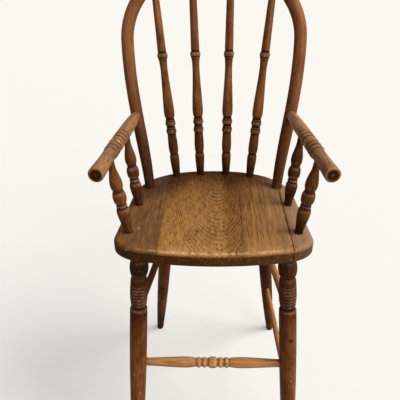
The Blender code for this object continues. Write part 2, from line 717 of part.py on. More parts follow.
def post_turning(length, arm_radius, ball_height):
    """Length runs from the top of the seat to the centreline of the arm."""
    turning = Turning(-SEAT_SOCKET_DEPTH, POST_FOOT_DIAMETER)
    turning.reach(0.0, POST_FOOT_DIAMETER)
    turning.curve(ball_height - POST_BULB_DROP, POST_FOOT_DIAMETER, POST_BULB_DIAMETER, POST_BULB_DIAMETER)
    turning.curve(POST_BULB_SHOULDER, POST_BULB_DIAMETER, POST_NECK_DIAMETER, POST_NECK_DIAMETER)
    turning.bead(POST_RING_WIDTH, POST_RING_DIAMETER, RING_STEPS)
    turning.run(POST_NECK_LENGTH, POST_NECK_DIAMETER)
    turning.bead(POST_BALL_LENGTH, POST_BALL_DIAMETER, BALL_STEPS)
    turning.run(POST_NECK_LENGTH, POST_NECK_DIAMETER)
    turning.run(POST_VASE_SHOULDER, POST_VASE_DIAMETER)
    arm_entry = length - arm_radius - POST_TOP_DIAMETER
    vase = arm_entry - turning.points[-1][0]
    turning.curve(vase, POST_VASE_DIAMETER, POST_TOP_DIAMETER, POST_TOP_DIAMETER)
    turning.reach(length - arm_radius + POST_TOP_TENON_DEPTH, POST_TOP_DIAMETER)
    return turning


# The chair is put together from the floor up

for leftover in list(bpy.data.objects):
    bpy.data.objects.remove(leftover)

chair = bpy.data.objects.new("chair", None)
bpy.context.collection.objects.link(chair)

pieces = []
seat_borers = []

floor_bm = bmesh.new()
bmesh.ops.create_cube(floor_bm, size=FLOOR_BLOCK_SIZE)
floor_block = add_cutter("floor_block", finish_mesh("floor_block", floor_bm))
floor_block.location.z = -FLOOR_BLOCK_SIZE / 2

# Four legs
legs = {}
for row, leg_line, leg_turning in (
    ("front", front_leg_line, front_leg_turning),
    ("rear", rear_leg_line, rear_leg_turning),
):
    for side_name, side in SIDES.items():
        line = leg_line(side)
        turning = leg_turning((line[1] - line[0]).length)
        name = row + "_leg_" + side_name
        leg, borer = turned_piece(name, turning, LEG_SIDES, *line, LEG_BROWN)
        combine(leg, floor_block)
        legs[row, side_name] = (leg, line, turning)
        seat_borers.append(borer)
        pieces.append(leg)

# Rungs between the legs. The lower left rung is lost, and its sockets stand empty
pieces.append(
    add_stretcher(
        "front_stretcher",
        legs["front", "left"],
        legs["front", "right"],
        FRONT_STRETCHER_HEIGHT,
        front_stretcher_turning,
    )
)
for side_name in SIDES:
    pieces.append(
        add_stretcher(
            "upper_stretcher_" + side_name,
            legs["front", side_name],
            legs["rear", side_name],
            UPPER_STRETCHER_HEIGHT,
            upper_stretcher_turning,
        )
    )
pieces.append(
    add_stretcher(
        "lower_stretcher_right",
        legs["front", "right"],
        legs["rear", "right"],
        LOWER_STRETCHER_HEIGHT,
        lower_stretcher_turning,
    )
)
bore_empty_sockets(
    "lower_left_sockets",
    legs["front", "left"],
    legs["rear", "left"],
    LOWER_STRETCHER_HEIGHT,
    lower_stretcher_turning,
)

# Wood screw, its head let a little into the round of the leg
screw_leg, screw_leg_line, screw_leg_turning = legs["front", "right"]
screw_out = Vector((math.sin(SCREW_TURN), -math.cos(SCREW_TURN), 0.0))
screw_seat = leg_radius(screw_leg_line, screw_leg_turning, SCREW_HEIGHT) - SCREW_SINK
screw_base = point_at_height(screw_leg_line, SCREW_HEIGHT) + screw_out * screw_seat
screw_turning = Turning(-SCREW_LENGTH, SCREW_TIP_DIAMETER)
screw_turning.reach(-SCREW_LENGTH / 2, SCREW_SHANK_DIAMETER)
screw_turning.reach(0.0, SCREW_SHANK_DIAMETER)
screw_turning.run(0.0, SCREW_HEAD_DIAMETER)
screw_turning.run(SCREW_HEAD_HEIGHT / 2, SCREW_HEAD_DIAMETER)
screw_turning.run(SCREW_HEAD_HEIGHT / 2, SCREW_CROWN_DIAMETER)
screw, screw_borer = turned_piece(
    "leg_screw",
    screw_turning,
    TURNED_SIDES,
    screw_base,
    screw_base + screw_out,
    DARK_STEEL,
    STEEL_ROUGHNESS,
    metallic=1.0,
)
combine(screw_leg, screw_borer)
pieces.append(screw)
slot_bm = bmesh.new()
bmesh.ops.create_cube(slot_bm, size=1.0)
bmesh.ops.scale(
    slot_bm, vec=(2 * SCREW_HEAD_DIAMETER, SCREW_SLOT_WIDTH, 2 * SCREW_SLOT_DEPTH), verts=slot_bm.verts
)
screw_slot = add_cutter("screw_slot", finish_mesh("screw_slot", slot_bm))
screw_slot.parent = screw
screw_slot.location.z = SCREW_HEAD_HEIGHT
screw_slot.rotation_euler.z = SCREW_SLOT_TURN
combine(screw, screw_slot)

# Bow, and the grown copy that bores the seat and scribes the arms to it
bow = add_piece("bow", bow_mesh("bow"), BACK_BROWN)
bow_borer = add_cutter("bow_borer", bow_mesh("bow_borer", CLEARANCE))
seat_borers.append(bow_borer)
pieces.append(bow)

# Four spindles between the seat and the bow
for pair, foot_spacing, top_spacing, lean in (
    ("outer", OUTER_SPINDLE_SPACING, OUTER_SPINDLE_TOP_SPACING, 0.0),
    ("inner", INNER_SPINDLE_SPACING, INNER_SPINDLE_TOP_SPACING, INNER_SPINDLE_LEAN),
):
    for side_name, side in SIDES.items():
        line = spindle_line(side * foot_spacing / 2, side * top_spacing / 2 + lean)
        turning = spindle_turning((line[1] - line[0]).length)
        name = "back_spindle_" + pair + "_" + side_name
        spindle, borer = turned_piece(name, turning, TURNED_SIDES, *line, BACK_BROWN)
        combine(bow, borer)
        seat_borers.append(borer)
        pieces.append(spindle)

# Arms, scribed to the bow and tenoned into it, each on two posts
for side_name, side in SIDES.items():
    line = arm_line(side)
    rear, front = line
    turning = arm_turning((front - rear).length)
    name = "arm_" + side_name
    arm = add_piece(name, turned_mesh(name, turning.points, LEG_SIDES), ARM_BROWN)
    place_along(arm, rear, front)
    pieces.append(arm)
    tenon_turning = Turning(-ARM_TENON_PAST_CENTRE, ARM_TENON_DIAMETER)
    tenon_turning.reach(BOW_DIAMETER, ARM_TENON_DIAMETER)
    tenon = add_cutter(name + "_tenon", turned_mesh(name + "_tenon", tenon_turning.points, LEG_SIDES))
    place_along(tenon, rear, front)
    combine(arm, bow_borer)
    combine(arm, tenon, "UNION")
    combine(bow, socket_borer(name + "_tenon", tenon_turning, LEG_SIDES, rear, front))
    for row, setback, side_inset, arm_setback, ball_height in (
        ("front", FRONT_POST_SETBACK, FRONT_POST_SIDE_INSET, FRONT_POST_ARM_SETBACK, FRONT_POST_BALL_HEIGHT),
        ("rear", REAR_POST_SETBACK, REAR_POST_SIDE_INSET, REAR_POST_ARM_SETBACK, REAR_POST_BALL_HEIGHT),
    ):
        foot = Vector((side * (seat_half_width(setback) - side_inset), setback, SEAT_HEIGHT))
        top = front + (rear - front).normalized() * arm_setback
        top.x += side * POST_TOP_SHIFT
        arm_radius = turning.radius_at((front - rear).length - arm_setback)
        post_shape = post_turning((top - foot).length, arm_radius, ball_height)
        post_name = "arm_post_" + row + "_" + side_name
        post, borer = turned_piece(post_name, post_shape, TURNED_SIDES, foot, top, BACK_BROWN)
        combine(arm, borer)
        seat_borers.append(borer)
        pieces.append(post)

# Seat boards, bored for everything that stands in them
right_seam = HALF_SEAT - RIGHT_BOARD_WIDTH
middle_seam = right_seam - CENTRE_RIGHT_BOARD_WIDTH
left_seam = LEFT_BOARD_WIDTH - HALF_SEAT
for name, low, high in (
    ("seat_board_left", None, left_seam),
    ("seat_board_centre_left", left_seam, middle_seam),
    ("seat_board_centre_right", middle_seam, right_seam),
    ("seat_board_right", right_seam, None),
):
    board = seat_board(name, low, high)
    pieces.append(board)
    for borer in seat_borers:
        combine(board, borer)

# The origin is on the floor, under the middle of the whole chair
bpy.context.view_layer.update()
depsgraph = bpy.context.evaluated_depsgraph_get()
setbacks = []
for piece in pieces:
    shape = piece.evaluated_get(depsgraph)
    setbacks += [(shape.matrix_world @ vert.co).y for vert in shape.data.vertices]
chair.location.y = -(min(setbacks) + max(setbacks)) / 2
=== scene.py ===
"""Looks of an old windsor high chair, built piece by piece round its solids. Metres, +Z up, facing -Y."""
import math

import bmesh
import bpy
import numpy as np
from mathutils import Matrix, Vector, noise
from mathutils.geometry import interpolate_bezier


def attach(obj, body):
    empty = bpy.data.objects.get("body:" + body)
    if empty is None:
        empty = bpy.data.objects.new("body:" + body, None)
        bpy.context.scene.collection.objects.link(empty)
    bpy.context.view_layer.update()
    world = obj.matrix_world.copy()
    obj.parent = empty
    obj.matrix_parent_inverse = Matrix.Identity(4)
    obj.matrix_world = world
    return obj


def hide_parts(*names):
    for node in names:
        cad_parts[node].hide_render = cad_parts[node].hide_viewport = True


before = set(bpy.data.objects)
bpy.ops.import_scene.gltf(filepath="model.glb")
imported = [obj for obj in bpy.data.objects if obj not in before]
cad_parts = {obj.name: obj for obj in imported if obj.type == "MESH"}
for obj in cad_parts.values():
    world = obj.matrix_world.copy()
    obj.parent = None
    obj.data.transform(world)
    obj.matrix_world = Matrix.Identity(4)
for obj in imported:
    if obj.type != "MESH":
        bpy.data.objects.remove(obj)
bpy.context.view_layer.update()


# Front legs. A pair of splayed legs in dark stained ash, turned on a lathe with a ball, a row of
# rings and a long tapering shaft. A round tenon at the top is glued into the underside of the seat,
# and the foot is sawn off level with the floor.

TOOL_STEP = 0.004
LATHE_SIDES = 48
MERGE_DISTANCE = 1e-6
CREASE = math.radians(38)
BESIDE_REACH = 0.005


class Outline:
    """The edge of a turned piece from one end to the other, as (distance, radius) points."""

    def __init__(self, distance, radius):
        self.points = [(distance, radius)]

    def taper(self, length, radius):
        """A straight length that ends on a radius."""
        distance, first = self.points[-1]
        cuts = max(1, round(length / TOOL_STEP))
        for cut in range(1, cuts + 1):
            share = cut / cuts
            self.points.append((distance + length * share, first + (radius - first) * share))

    def taper_to(self, distance, radius):
        """A straight length up to a place on the axis."""
        self.taper(distance - self.points[-1][0], radius)

    def sweep(self, length, near, far, radius):
        """A curved length, drawn towards two radii on its way to the last one."""
        distance, first = self.points[-1]
        cuts = max(6, round(length / TOOL_STEP))
        corners = [
            Vector((distance, first)),
            Vector((distance + length / 3, near)),
            Vector((distance + 2 * length / 3, far)),
            Vector((distance + length, radius)),
        ]
        self.points += [tuple(point) for point in interpolate_bezier(*corners, cuts + 1)[1:]]

    def bead(self, length, radius, cuts=10):
        """A half-round that starts and ends on the present radius."""
        distance, first = self.points[-1]
        for cut in range(1, cuts + 1):
            angle = math.pi * cut / cuts
            rise = (radius - first) * math.sin(angle)
            self.points.append((distance + length * (1 - math.cos(angle)) / 2, first + rise))

    def shoulder(self, length, radius, cuts=8):
        """A quarter-round that leaves steeply and ends level, for rounding out to a wider radius."""
        distance, first = self.points[-1]
        for cut in range(1, cuts + 1):
            angle = math.pi / 2 * cut / cuts
            rise = (radius - first) * math.sin(angle)
            self.points.append((distance + length * (1 - math.cos(angle)), first + rise))

    def fall(self, length, radius, cuts=8):
        """A quarter-round that leaves level and ends steeply, for rounding in to a narrower radius."""
        distance, first = self.points[-1]
        for cut in range(1, cuts + 1):
            angle = math.pi / 2 * cut / cuts
            rise = (first - radius) * math.cos(angle)
            self.points.append((distance + length * math.sin(angle), radius + rise))

    def hollows(self, reach=0.0):
        """How far the deepest point within reach of each one lies below the wood on both sides of it:
        above 0 in a groove, below 0 on a crest."""
        distances, radii = np.array(self.points).T
        window = np.linspace(-BESIDE_REACH, BESIDE_REACH, 21)
        beside = np.interp(distances[:, None] + window, distances, radii).mean(axis=1)
        near = np.abs(distances[:, None] - distances) <= reach
        return np.where(near, beside - radii, -1.0).max(axis=1)


def along(points, place):
    """The amount at a place, read off a line of (place, amount) points."""
    return np.interp(place, *zip(*points))


def portion(value):
    """A value kept between 0 and 1."""
    return min(max(value, 0.0), 1.0)


def saw(bm, place, way, drop=True):
    """Cut a mesh along a plane. What lies beyond it is dropped and the cut is closed, unless both sides stay."""
    everything = bm.verts[:] + bm.edges[:] + bm.faces[:]
    bmesh.ops.bisect_plane(bm, geom=everything, dist=MERGE_DISTANCE, plane_co=place, plane_no=way, clear_outer=drop)
    if drop:
        close_ends(bm)


def close_ends(bm):
    bmesh.ops.holes_fill(bm, edges=[edge for edge in bm.edges if edge.is_boundary], sides=0)


def add_marks(bm):
    """What each point of a mesh keeps for the finish: its place in the billet, its grime and painted shade, and its
    wear and painted highlight.
    """
    amounts = bm.verts.layers.float
    return bm.verts.layers.float_vector.new("billet"), amounts.new("grime_and_shade"), amounts.new("wear_and_highlight")


# Dust and painted sheen: what faces up is made paler, as dust and as a painted sheen.
DUST_AND_SHEEN_BY_SLOPE = ((0.15, 0.0), (0.75, 1.0))


def add_piece(name, bm):
    """Close a mesh, make what faces up paler with dust and painted sheen, shade it and put it in the scene at the
    origin.
    """
    bmesh.ops.remove_doubles(bm, verts=bm.verts, dist=MERGE_DISTANCE)
    bmesh.ops.recalc_face_normals(bm, faces=bm.faces)
    if bm.verts.layers.float.get("dust_and_sheen") is None:
        bm.normal_update()
        dust_and_sheen = bm.verts.layers.float.new("dust_and_sheen")
        for vert in bm.verts:
            vert[dust_and_sheen] = along(DUST_AND_SHEEN_BY_SLOPE, vert.normal.z)
    mesh = bpy.data.meshes.new(name)
    bm.to_mesh(mesh)
    bm.free()
    mesh.shade_smooth()
    mesh.set_sharp_from_angle(angle=CREASE)
    piece = bpy.data.objects.new(name, mesh)
    bpy.context.scene.collection.objects.link(piece)
    return piece


UNEVEN_DEPTH = 0.0003
UNEVEN_SCALE = Vector((55, 55, 22))
# Grime and painted shade in the grooves, wear and a painted highlight on the crests.
GRIME_AND_SHADE_HOLLOW = 0.0005
GRIME_AND_SHADE_REACH = 0.0011
WORN_AND_SHINING_CREST = 0.0006
JOINT_GRIME_REACH = 0.007
CLEAN = ((0.0, 0.0),)


def unevenness(place):
    """How far the wood has shrunk at a place in the billet."""
    return UNEVEN_DEPTH * (1 + noise.noise(place * UNEVEN_SCALE)) / 2


def turn(outline, start, end, pith, joints=(), dirt_and_shade=CLEAN, rub=CLEAN, settle_and_shade=1.0):
    """Spin an outline about the line from start to end.
    Each point keeps its place in the billet, which sets the grain, its grime and painted shade, and its wear and
    painted highlight. The dirt and shade, and the rub, are (distance, amount) points along the line; joints are
    places where dirt gathers; the settle and shade is how strongly grime and painted shade darken the hollows,
    while the crests are painted paler as wear and highlight."""
    bm = bmesh.new()
    billet, grime_and_shade, wear_and_highlight = add_marks(bm)
    first, last = outline.points[0][0], outline.points[-1][0]
    edge = [(first, 0.0), *outline.points, (last, 0.0)]
    hollows = [0.0, *outline.hollows(), 0.0]
    grooves = [0.0, *outline.hollows(GRIME_AND_SHADE_REACH * settle_and_shade), 0.0]
    wire = []
    for (distance, radius), hollow, groove in zip(edge, hollows, grooves):
        vert = bm.verts.new((radius, 0.0, distance))
        joint = max((1 - abs(distance - place) / JOINT_GRIME_REACH for place in joints), default=0.0)
        # Crests are painted paler as wear and highlight, grooves darker as grime and shade.
        crest = portion(-hollow / WORN_AND_SHINING_CREST)
        sunk_grime_and_shade = portion(settle_and_shade * groove / GRIME_AND_SHADE_HOLLOW) * (1 - crest)
        vert[grime_and_shade] = min(max(sunk_grime_and_shade, joint, along(dirt_and_shade, distance)), 1.0)
        vert[wear_and_highlight] = max(crest, along(rub, distance) * (1 - sunk_grime_and_shade))
        wire.append(vert)
    edges = [bm.edges.new(pair) for pair in zip(wire, wire[1:])]
    bmesh.ops.spin(
        bm, geom=wire + edges, cent=(0, 0, 0), axis=(0, 0, 1), angle=math.tau, steps=LATHE_SIDES, use_merge=True
    )
    bmesh.ops.remove_doubles(bm, verts=bm.verts, dist=MERGE_DISTANCE)
    for vert in bm.verts:
        vert[billet] = vert.co + Vector(pith)
        radius = vert.co.xy.length
        if radius > UNEVEN_DEPTH:
            vert.co.xy *= 1 - unevenness(vert[billet]) / radius
    place = Matrix.Translation(start) @ (end - start).to_track_quat("Z", "Y").to_matrix().to_4x4()
    bmesh.ops.transform(bm, matrix=place, verts=bm.verts)
    return bm


def add_node(tree, kind, inputs, **settings):
    """A shader node with its settings, values and links."""
    node = tree.nodes.new(kind)
    for key, value in settings.items():
        setattr(node, key, value)
    for key, value in inputs.items():
        if isinstance(value, bpy.types.NodeSocket):
            tree.links.new(value, node.inputs[key])
        else:
            node.inputs[key].default_value = value
    return node


def work_out(tree, operation, *values):
    return add_node(tree, "ShaderNodeMath", dict(enumerate(values)), operation=operation).outputs[0]


def ease(tree, value, low, high, first=0.0, last=1.0):
    """A smooth step from first to last as a value goes from low to high."""
    inputs = {"Value": value, "From Min": low, "From Max": high, "To Min": first, "To Max": last}
    return add_node(tree, "ShaderNodeMapRange", inputs, interpolation_type="SMOOTHSTEP").outputs["Result"]


def blend(tree, share, under, over, mode="MIX"):
    """One colour laid over another."""
    inputs = {0: share, 6: under, 7: over}
    return add_node(tree, "ShaderNodeMix", inputs, data_type="RGBA", blend_type=mode).outputs[2]


def move(tree, operation, inputs, out=0):
    return add_node(tree, "ShaderNodeVectorMath", inputs, operation=operation).outputs[out]


def stretch(tree, vector, scale):
    return move(tree, "MULTIPLY", {0: vector, 1: scale})


def mottle(tree, vector, scale, detail=2.0, roughness=0.5):
    """Noise at so many spots a metre, along each axis."""
    inputs = {"Vector": stretch(tree, vector, scale), "Scale": 1.0, "Detail": detail, "Roughness": roughness}
    return add_node(tree, "ShaderNodeTexNoise", inputs)


def new_group(name, inputs, outputs):
    """A shader group with named sockets: the group, what comes in and what goes out."""
    group = bpy.data.node_groups.new(name, "ShaderNodeTree")
    for label, kind, value in inputs:
        socket = group.interface.new_socket(label, in_out="INPUT", socket_type="NodeSocket" + kind)
        socket.default_value = value
    for label, kind in outputs:
        group.interface.new_socket(label, in_out="OUTPUT", socket_type="NodeSocket" + kind)
    entry = group.nodes.new("NodeGroupInput")
    way_out = group.nodes.new("NodeGroupOutput")
    return group, entry.outputs, way_out.inputs


def tint(red, green, blue):
    """A colour given as 0 to 255 on a screen, for a shader."""
    steps = [value / 255 for value in (red, green, blue)]
    return (*(value / 12.92 if value < 0.04045 else ((value + 0.055) / 1.055) ** 2.4 for value in steps), 1.0)


BLACK = (0, 0, 0, 1)
WHITE = (1, 1, 1, 1)
PORE_SHADE = (0.36, 0.28, 0.22, 1)
PATCH_SHADE = (0.42, 0.36, 0.34, 1)
DIRT_SHADE = (0.36, 0.26, 0.15, 1)
DUST_AND_SHEEN_COLOUR = tint(203, 177, 165)
CHIP_PAINT = tint(214, 186, 150)


def build_grain():
    """Ring-porous wood with its rings round Z: a band of open pores at the start of each year's ring."""
    group, given, out = new_group(
        "Wood grain",
        [
            ("Billet", "Vector", (0, 0, 0)), ("Ring Width", "Float", 0.0025), ("Ring Contrast", "Float", 0.5),
            ("Wander", "Float", 0.006), ("Summer Wood", "Color", WHITE), ("Spring Wood", "Color", BLACK),
            ("Pores", "Float", 0.6),
        ],
        [("Colour", "Color"), ("Height", "Float")],
    )
    drift = mottle(group, given["Billet"], (22, 22, 6), detail=4.0, roughness=0.55).outputs["Color"]
    centred = move(group, "SUBTRACT", {0: drift, 1: (0.5, 0.5, 0.5)})
    moved = move(group, "SCALE", {0: centred, "Scale": given["Wander"]})
    place = move(group, "ADD", {0: given["Billet"], 1: moved})
    across = stretch(group, place, (1, 1, 0))
    from_pith = move(group, "LENGTH", {0: across}, out="Value")
    years = work_out(group, "DIVIDE", from_pith, given["Ring Width"])
    within = work_out(group, "FRACT", years)
    year = work_out(group, "FLOOR", years)
    strength = add_node(group, "ShaderNodeTexWhiteNoise", {"W": year}, noise_dimensions="1D").outputs["Value"]
    spring = work_out(group, "MAXIMUM", ease(group, within, 0.0, 0.6, 1.0, 0.0), ease(group, within, 0.86, 1.0))
    spring = work_out(group, "MULTIPLY", spring, work_out(group, "MULTIPLY_ADD", strength, 0.7, 0.3))
    streak = mottle(group, place, (210, 210, 7), detail=4.0, roughness=0.65).outputs["Fac"]
    fibre = mottle(group, place, (620, 620, 30), detail=3.0, roughness=0.65).outputs["Fac"]
    pore = ease(group, mottle(group, place, (640, 640, 46)).outputs["Fac"], 0.50, 0.68)
    pore = work_out(group, "MULTIPLY", pore, work_out(group, "MULTIPLY_ADD", spring, 0.6, 0.4))
    pore = work_out(group, "MULTIPLY", pore, given["Pores"])
    share = work_out(group, "MULTIPLY_ADD", spring, given["Ring Contrast"], 0.12)
    share = work_out(group, "MULTIPLY_ADD", work_out(group, "SUBTRACT", streak, 0.5), 2.6, share)
    share = work_out(group, "MULTIPLY_ADD", work_out(group, "SUBTRACT", fibre, 0.5), 2.4, share)
    share = add_node(group, "ShaderNodeClamp", {"Value": share}).outputs[0]
    wood = blend(group, share, given["Summer Wood"], given["Spring Wood"])
    shade = blend(group, 1.0, given["Spring Wood"], PORE_SHADE, mode="MULTIPLY")
    group.links.new(blend(group, pore, wood, shade), out["Colour"])
    height = work_out(group, "MULTIPLY_ADD", pore, -0.8, work_out(group, "MULTIPLY", fibre, 0.6))
    height = work_out(group, "MULTIPLY_ADD", spring, -0.25, height)
    group.links.new(height, out["Height"])
    return group


def build_old_polish():
    """A century of handling: cloudy patches, bare wood and painted highlights on the crests, grime and painted shade
    in the hollows, a film of dust and painted sheen on what faces up, and small nicks."""
    group, given, out = new_group(
        "Old polish",
        [
            ("Place", "Vector", (0, 0, 0)), ("Wood", "Color", WHITE), ("Grime And Shade", "Float", 0.0), ("Wear And Highlight", "Float", 0.0),
            ("Grime Colour", "Color", BLACK), ("Worn And Shining Colour", "Color", WHITE), ("Cloud", "Float", 0.5),
            ("Nicks", "Float", 0.5), ("Dust And Sheen", "Float", 0.0),
        ],
        [("Colour", "Color"), ("Roughness", "Float"), ("Height", "Float")],
    )
    cloud = mottle(group, given["Place"], (45, 45, 14), detail=5.0, roughness=0.6).outputs["Fac"]
    patch = work_out(group, "MULTIPLY", ease(group, cloud, 0.40, 0.66), given["Cloud"])
    wood = blend(group, patch, given["Wood"], PATCH_SHADE, mode="MULTIPLY")
    breakup = mottle(group, given["Place"], (140, 140, 60), detail=4.0, roughness=0.65).outputs["Fac"]
    speckle = work_out(group, "MULTIPLY", ease(group, breakup, 0.50, 0.66, 0.0, 0.6), given["Cloud"])
    wood = blend(group, speckle, wood, PATCH_SHADE, mode="MULTIPLY")
    bare = work_out(group, "MULTIPLY", ease(group, breakup, 0.30, 0.44, 0.4, 0.0), given["Cloud"])
    wood = blend(group, bare, wood, given["Worn And Shining Colour"])
    # Wear and painted highlight: the worn colour laid over the wood.
    rubbed_and_shining = work_out(group, "MULTIPLY", given["Wear And Highlight"], ease(group, breakup, 0.36, 0.62))
    wood = blend(group, rubbed_and_shining, wood, given["Worn And Shining Colour"])
    # Grime and painted shade: the wood darkened.
    dirty_and_shaded = work_out(group, "MULTIPLY", given["Grime And Shade"], ease(group, breakup, 0.25, 0.5, 0.8, 1.0))
    dirty_and_shaded = work_out(group, "MULTIPLY", dirty_and_shaded, ease(group, rubbed_and_shining, 0.0, 1.0, 1.0, 0.35))
    wood = blend(group, dirty_and_shaded, wood, DIRT_SHADE, mode="MULTIPLY")
    wood = blend(group, ease(group, dirty_and_shaded, 0.60, 1.0, 0.0, 0.8), wood, given["Grime Colour"])
    # Dust and painted sheen: a pale film laid on what faces up.
    dust_and_sheen_film = work_out(group, "MULTIPLY", given["Dust And Sheen"], ease(group, breakup, 0.30, 0.60, 0.6, 1.0))
    wood = blend(group, dust_and_sheen_film, wood, DUST_AND_SHEEN_COLOUR)
    cells = add_node(group, "ShaderNodeTexVoronoi", {"Vector": given["Place"], "Scale": 75.0}, feature="F1")
    chance = add_node(group, "ShaderNodeSeparateColor", {"Color": cells.outputs["Color"]}).outputs["Red"]
    ragged = work_out(group, "MULTIPLY_ADD", breakup, 0.12, cells.outputs["Distance"])
    near = ease(group, ragged, 0.13, 0.19, 1.0, 0.0)
    nick = work_out(group, "MULTIPLY", near, ease(group, chance, 0.90, 0.93))
    nick = work_out(group, "MULTIPLY", nick, given["Nicks"])
    wood = blend(group, nick, wood, given["Worn And Shining Colour"])
    group.links.new(wood, out["Colour"])
    rough = work_out(group, "MULTIPLY_ADD", dirty_and_shaded, 0.25, work_out(group, "MULTIPLY_ADD", breakup, 0.25, 0.30))
    group.links.new(work_out(group, "MULTIPLY_ADD", rubbed_and_shining, 0.10, rough), out["Roughness"])
    group.links.new(work_out(group, "MULTIPLY", nick, -1.0), out["Height"])
    return group


GRAIN = build_grain()
OLD_POLISH = build_old_polish()


def specks(tree, colour, places):
    """Small chips of paint at given places on the chair."""
    here = add_node(tree, "ShaderNodeTexCoord", {}).outputs["Object"]
    ragged = mottle(tree, here, (900, 900, 900)).outputs["Fac"]
    for *place, radius in places:
        gap = move(tree, "DISTANCE", {0: here, 1: place}, out="Value")
        gap = work_out(tree, "MULTIPLY_ADD", work_out(tree, "SUBTRACT", ragged, 0.5), radius, gap)
        colour = blend(tree, ease(tree, gap, 0.7 * radius, 1.1 * radius, 0.85, 0.0), colour, CHIP_PAINT)
    return colour


def mark(tree, name, out="Fac"):
    return add_node(tree, "ShaderNodeAttribute", {}, attribute_name=name).outputs[out]


WOOD_GLOSS = 0.05
GRAIN_DEPTH = 0.0004
GRAIN_STRENGTH = 0.35


def old_wood(
    name, summer, spring, grime_and_shade, worn_and_shining, rings=(0.0026, 0.45), cloud=0.5, nicks=0.5, pores=0.6, dust_and_sheen_share=0.0, chips=()
):
    """A stained and worn finish, with its grain along the billet.
    Rings are the width of a year and how strongly it shows, the dust and sheen share is how much dust and painted
    sheen lie on what faces up."""
    finish = bpy.data.materials.new(name)
    finish.use_nodes = True
    tree = finish.node_tree
    billet = mark(tree, "billet", out="Vector")
    dust_and_sheen = work_out(tree, "MULTIPLY", mark(tree, "dust_and_sheen"), dust_and_sheen_share)
    ring_width, ring_contrast = rings
    grain = add_node(tree, "ShaderNodeGroup", {
        "Billet": billet, "Ring Width": ring_width, "Ring Contrast": ring_contrast, "Summer Wood": summer,
        "Spring Wood": spring, "Pores": pores,
    }, node_tree=GRAIN).outputs
    polish = add_node(tree, "ShaderNodeGroup", {
        "Place": billet, "Wood": grain["Colour"], "Grime And Shade": mark(tree, "grime_and_shade"), "Wear And Highlight": mark(tree, "wear_and_highlight"),
        "Grime Colour": grime_and_shade, "Worn And Shining Colour": worn_and_shining, "Cloud": cloud, "Nicks": nicks, "Dust And Sheen": dust_and_sheen,
    }, node_tree=OLD_POLISH).outputs
    height = work_out(tree, "ADD", grain["Height"], polish["Height"])
    bump = add_node(
        tree, "ShaderNodeBump", {"Height": height, "Strength": GRAIN_STRENGTH, "Distance": GRAIN_DEPTH}
    ).outputs["Normal"]
    shader = tree.nodes["Principled BSDF"]
    shader.inputs["Specular IOR Level"].default_value = WOOD_GLOSS
    tree.links.new(specks(tree, polish["Colour"], chips), shader.inputs["Base Color"])
    tree.links.new(polish["Roughness"], shader.inputs["Roughness"])
    tree.links.new(bump, shader.inputs["Normal"])
    return finish


def dress(piece, finish, node):
    """Give a piece its finish and let it stand for its solid."""
    piece.data.materials.append(finish)
    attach(piece, "root")
    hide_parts(node)


SIDES = {"left": -1, "right": 1}
SEAT_SINK = 0.004
FRONT_LEG_TOP = Vector((0.13294, -0.14112, 0.532))
FRONT_LEG_FOOT = Vector((0.17094, -0.19612, 0.0))
LEG_TENON_RADIUS = 0.011
LEG_TENON_END = 0.006
LEG_NECK = (0.0060, 0.0122)
LEG_BALL = (0.0358, 0.0176)
LEG_BARREL_TOP = (0.0493, 0.0124)
LEG_BARREL_SHOULDER = (0.0150, 0.0161)
LEG_RING_RADII = (0.0164, 0.0168, 0.0170, 0.0170, 0.0167, 0.0162, 0.0154)
LEG_RING_PITCH = 0.0069
LEG_GROOVE_WIDTH = 0.0011
LEG_GROOVE_DEPTH = 0.0020
LEG_COVE = (0.0070, 0.0132, 0.0128, 0.0128)
LEG_COLLAR_SHOULDER = (0.0032, 0.0166)
LEG_COLLAR = (0.0054, 0.0167)
LEG_SHAFT_RADII = (0.0186, 0.0161, 0.0102)
LEG_FOOT_RADII = (0.0098, 0.0085, 0.0055)
FOOT_EASE = 0.008
FLOOR_LEVEL = (0, 0, 0)
DOWN = (0, 0, -1)
LEG_WOOD = old_wood(
    "leg_wood",
    summer=tint(146, 88, 42),
    spring=tint(84, 42, 17),
    grime_and_shade=tint(40, 20, 9),
    worn_and_shining=tint(146, 96, 60),
    cloud=0.75,
    nicks=0.6,
    dust_and_sheen_share=0.08,
    chips=(
        (-0.1580, -0.1848, 0.2588, 0.0014),
        (-0.1500, -0.1897, 0.2073, 0.0017),
        (-0.1532, -0.1883, 0.2317, 0.0012),
        (-0.1326, -0.1608, 0.5056, 0.0007),
        (0.1577, -0.1864, 0.2466, 0.0014),
        (0.1348, -0.1611, 0.5060, 0.0007),
    ),
)
# Dirt and painted shade: the front legs are darkened towards the top under the seat, the right ball less than the
# left.
LEG_DIRT_AND_SHADE = {
    "left": (
        (0.0, 1.0), (0.045, 1.0), (0.06, 0.9), (0.11, 0.88), (0.125, 0.85), (0.16, 0.5), (0.19, 0.2), (0.24, 0.05),
    ),
    "right": (
        (0.0, 1.0), (0.015, 0.95), (0.028, 0.8), (0.045, 0.88), (0.06, 0.8), (0.125, 0.78), (0.14, 0.4), (0.24, 0.0),
    ),
}
LEG_SETTLE_AND_SHADE = 0.5


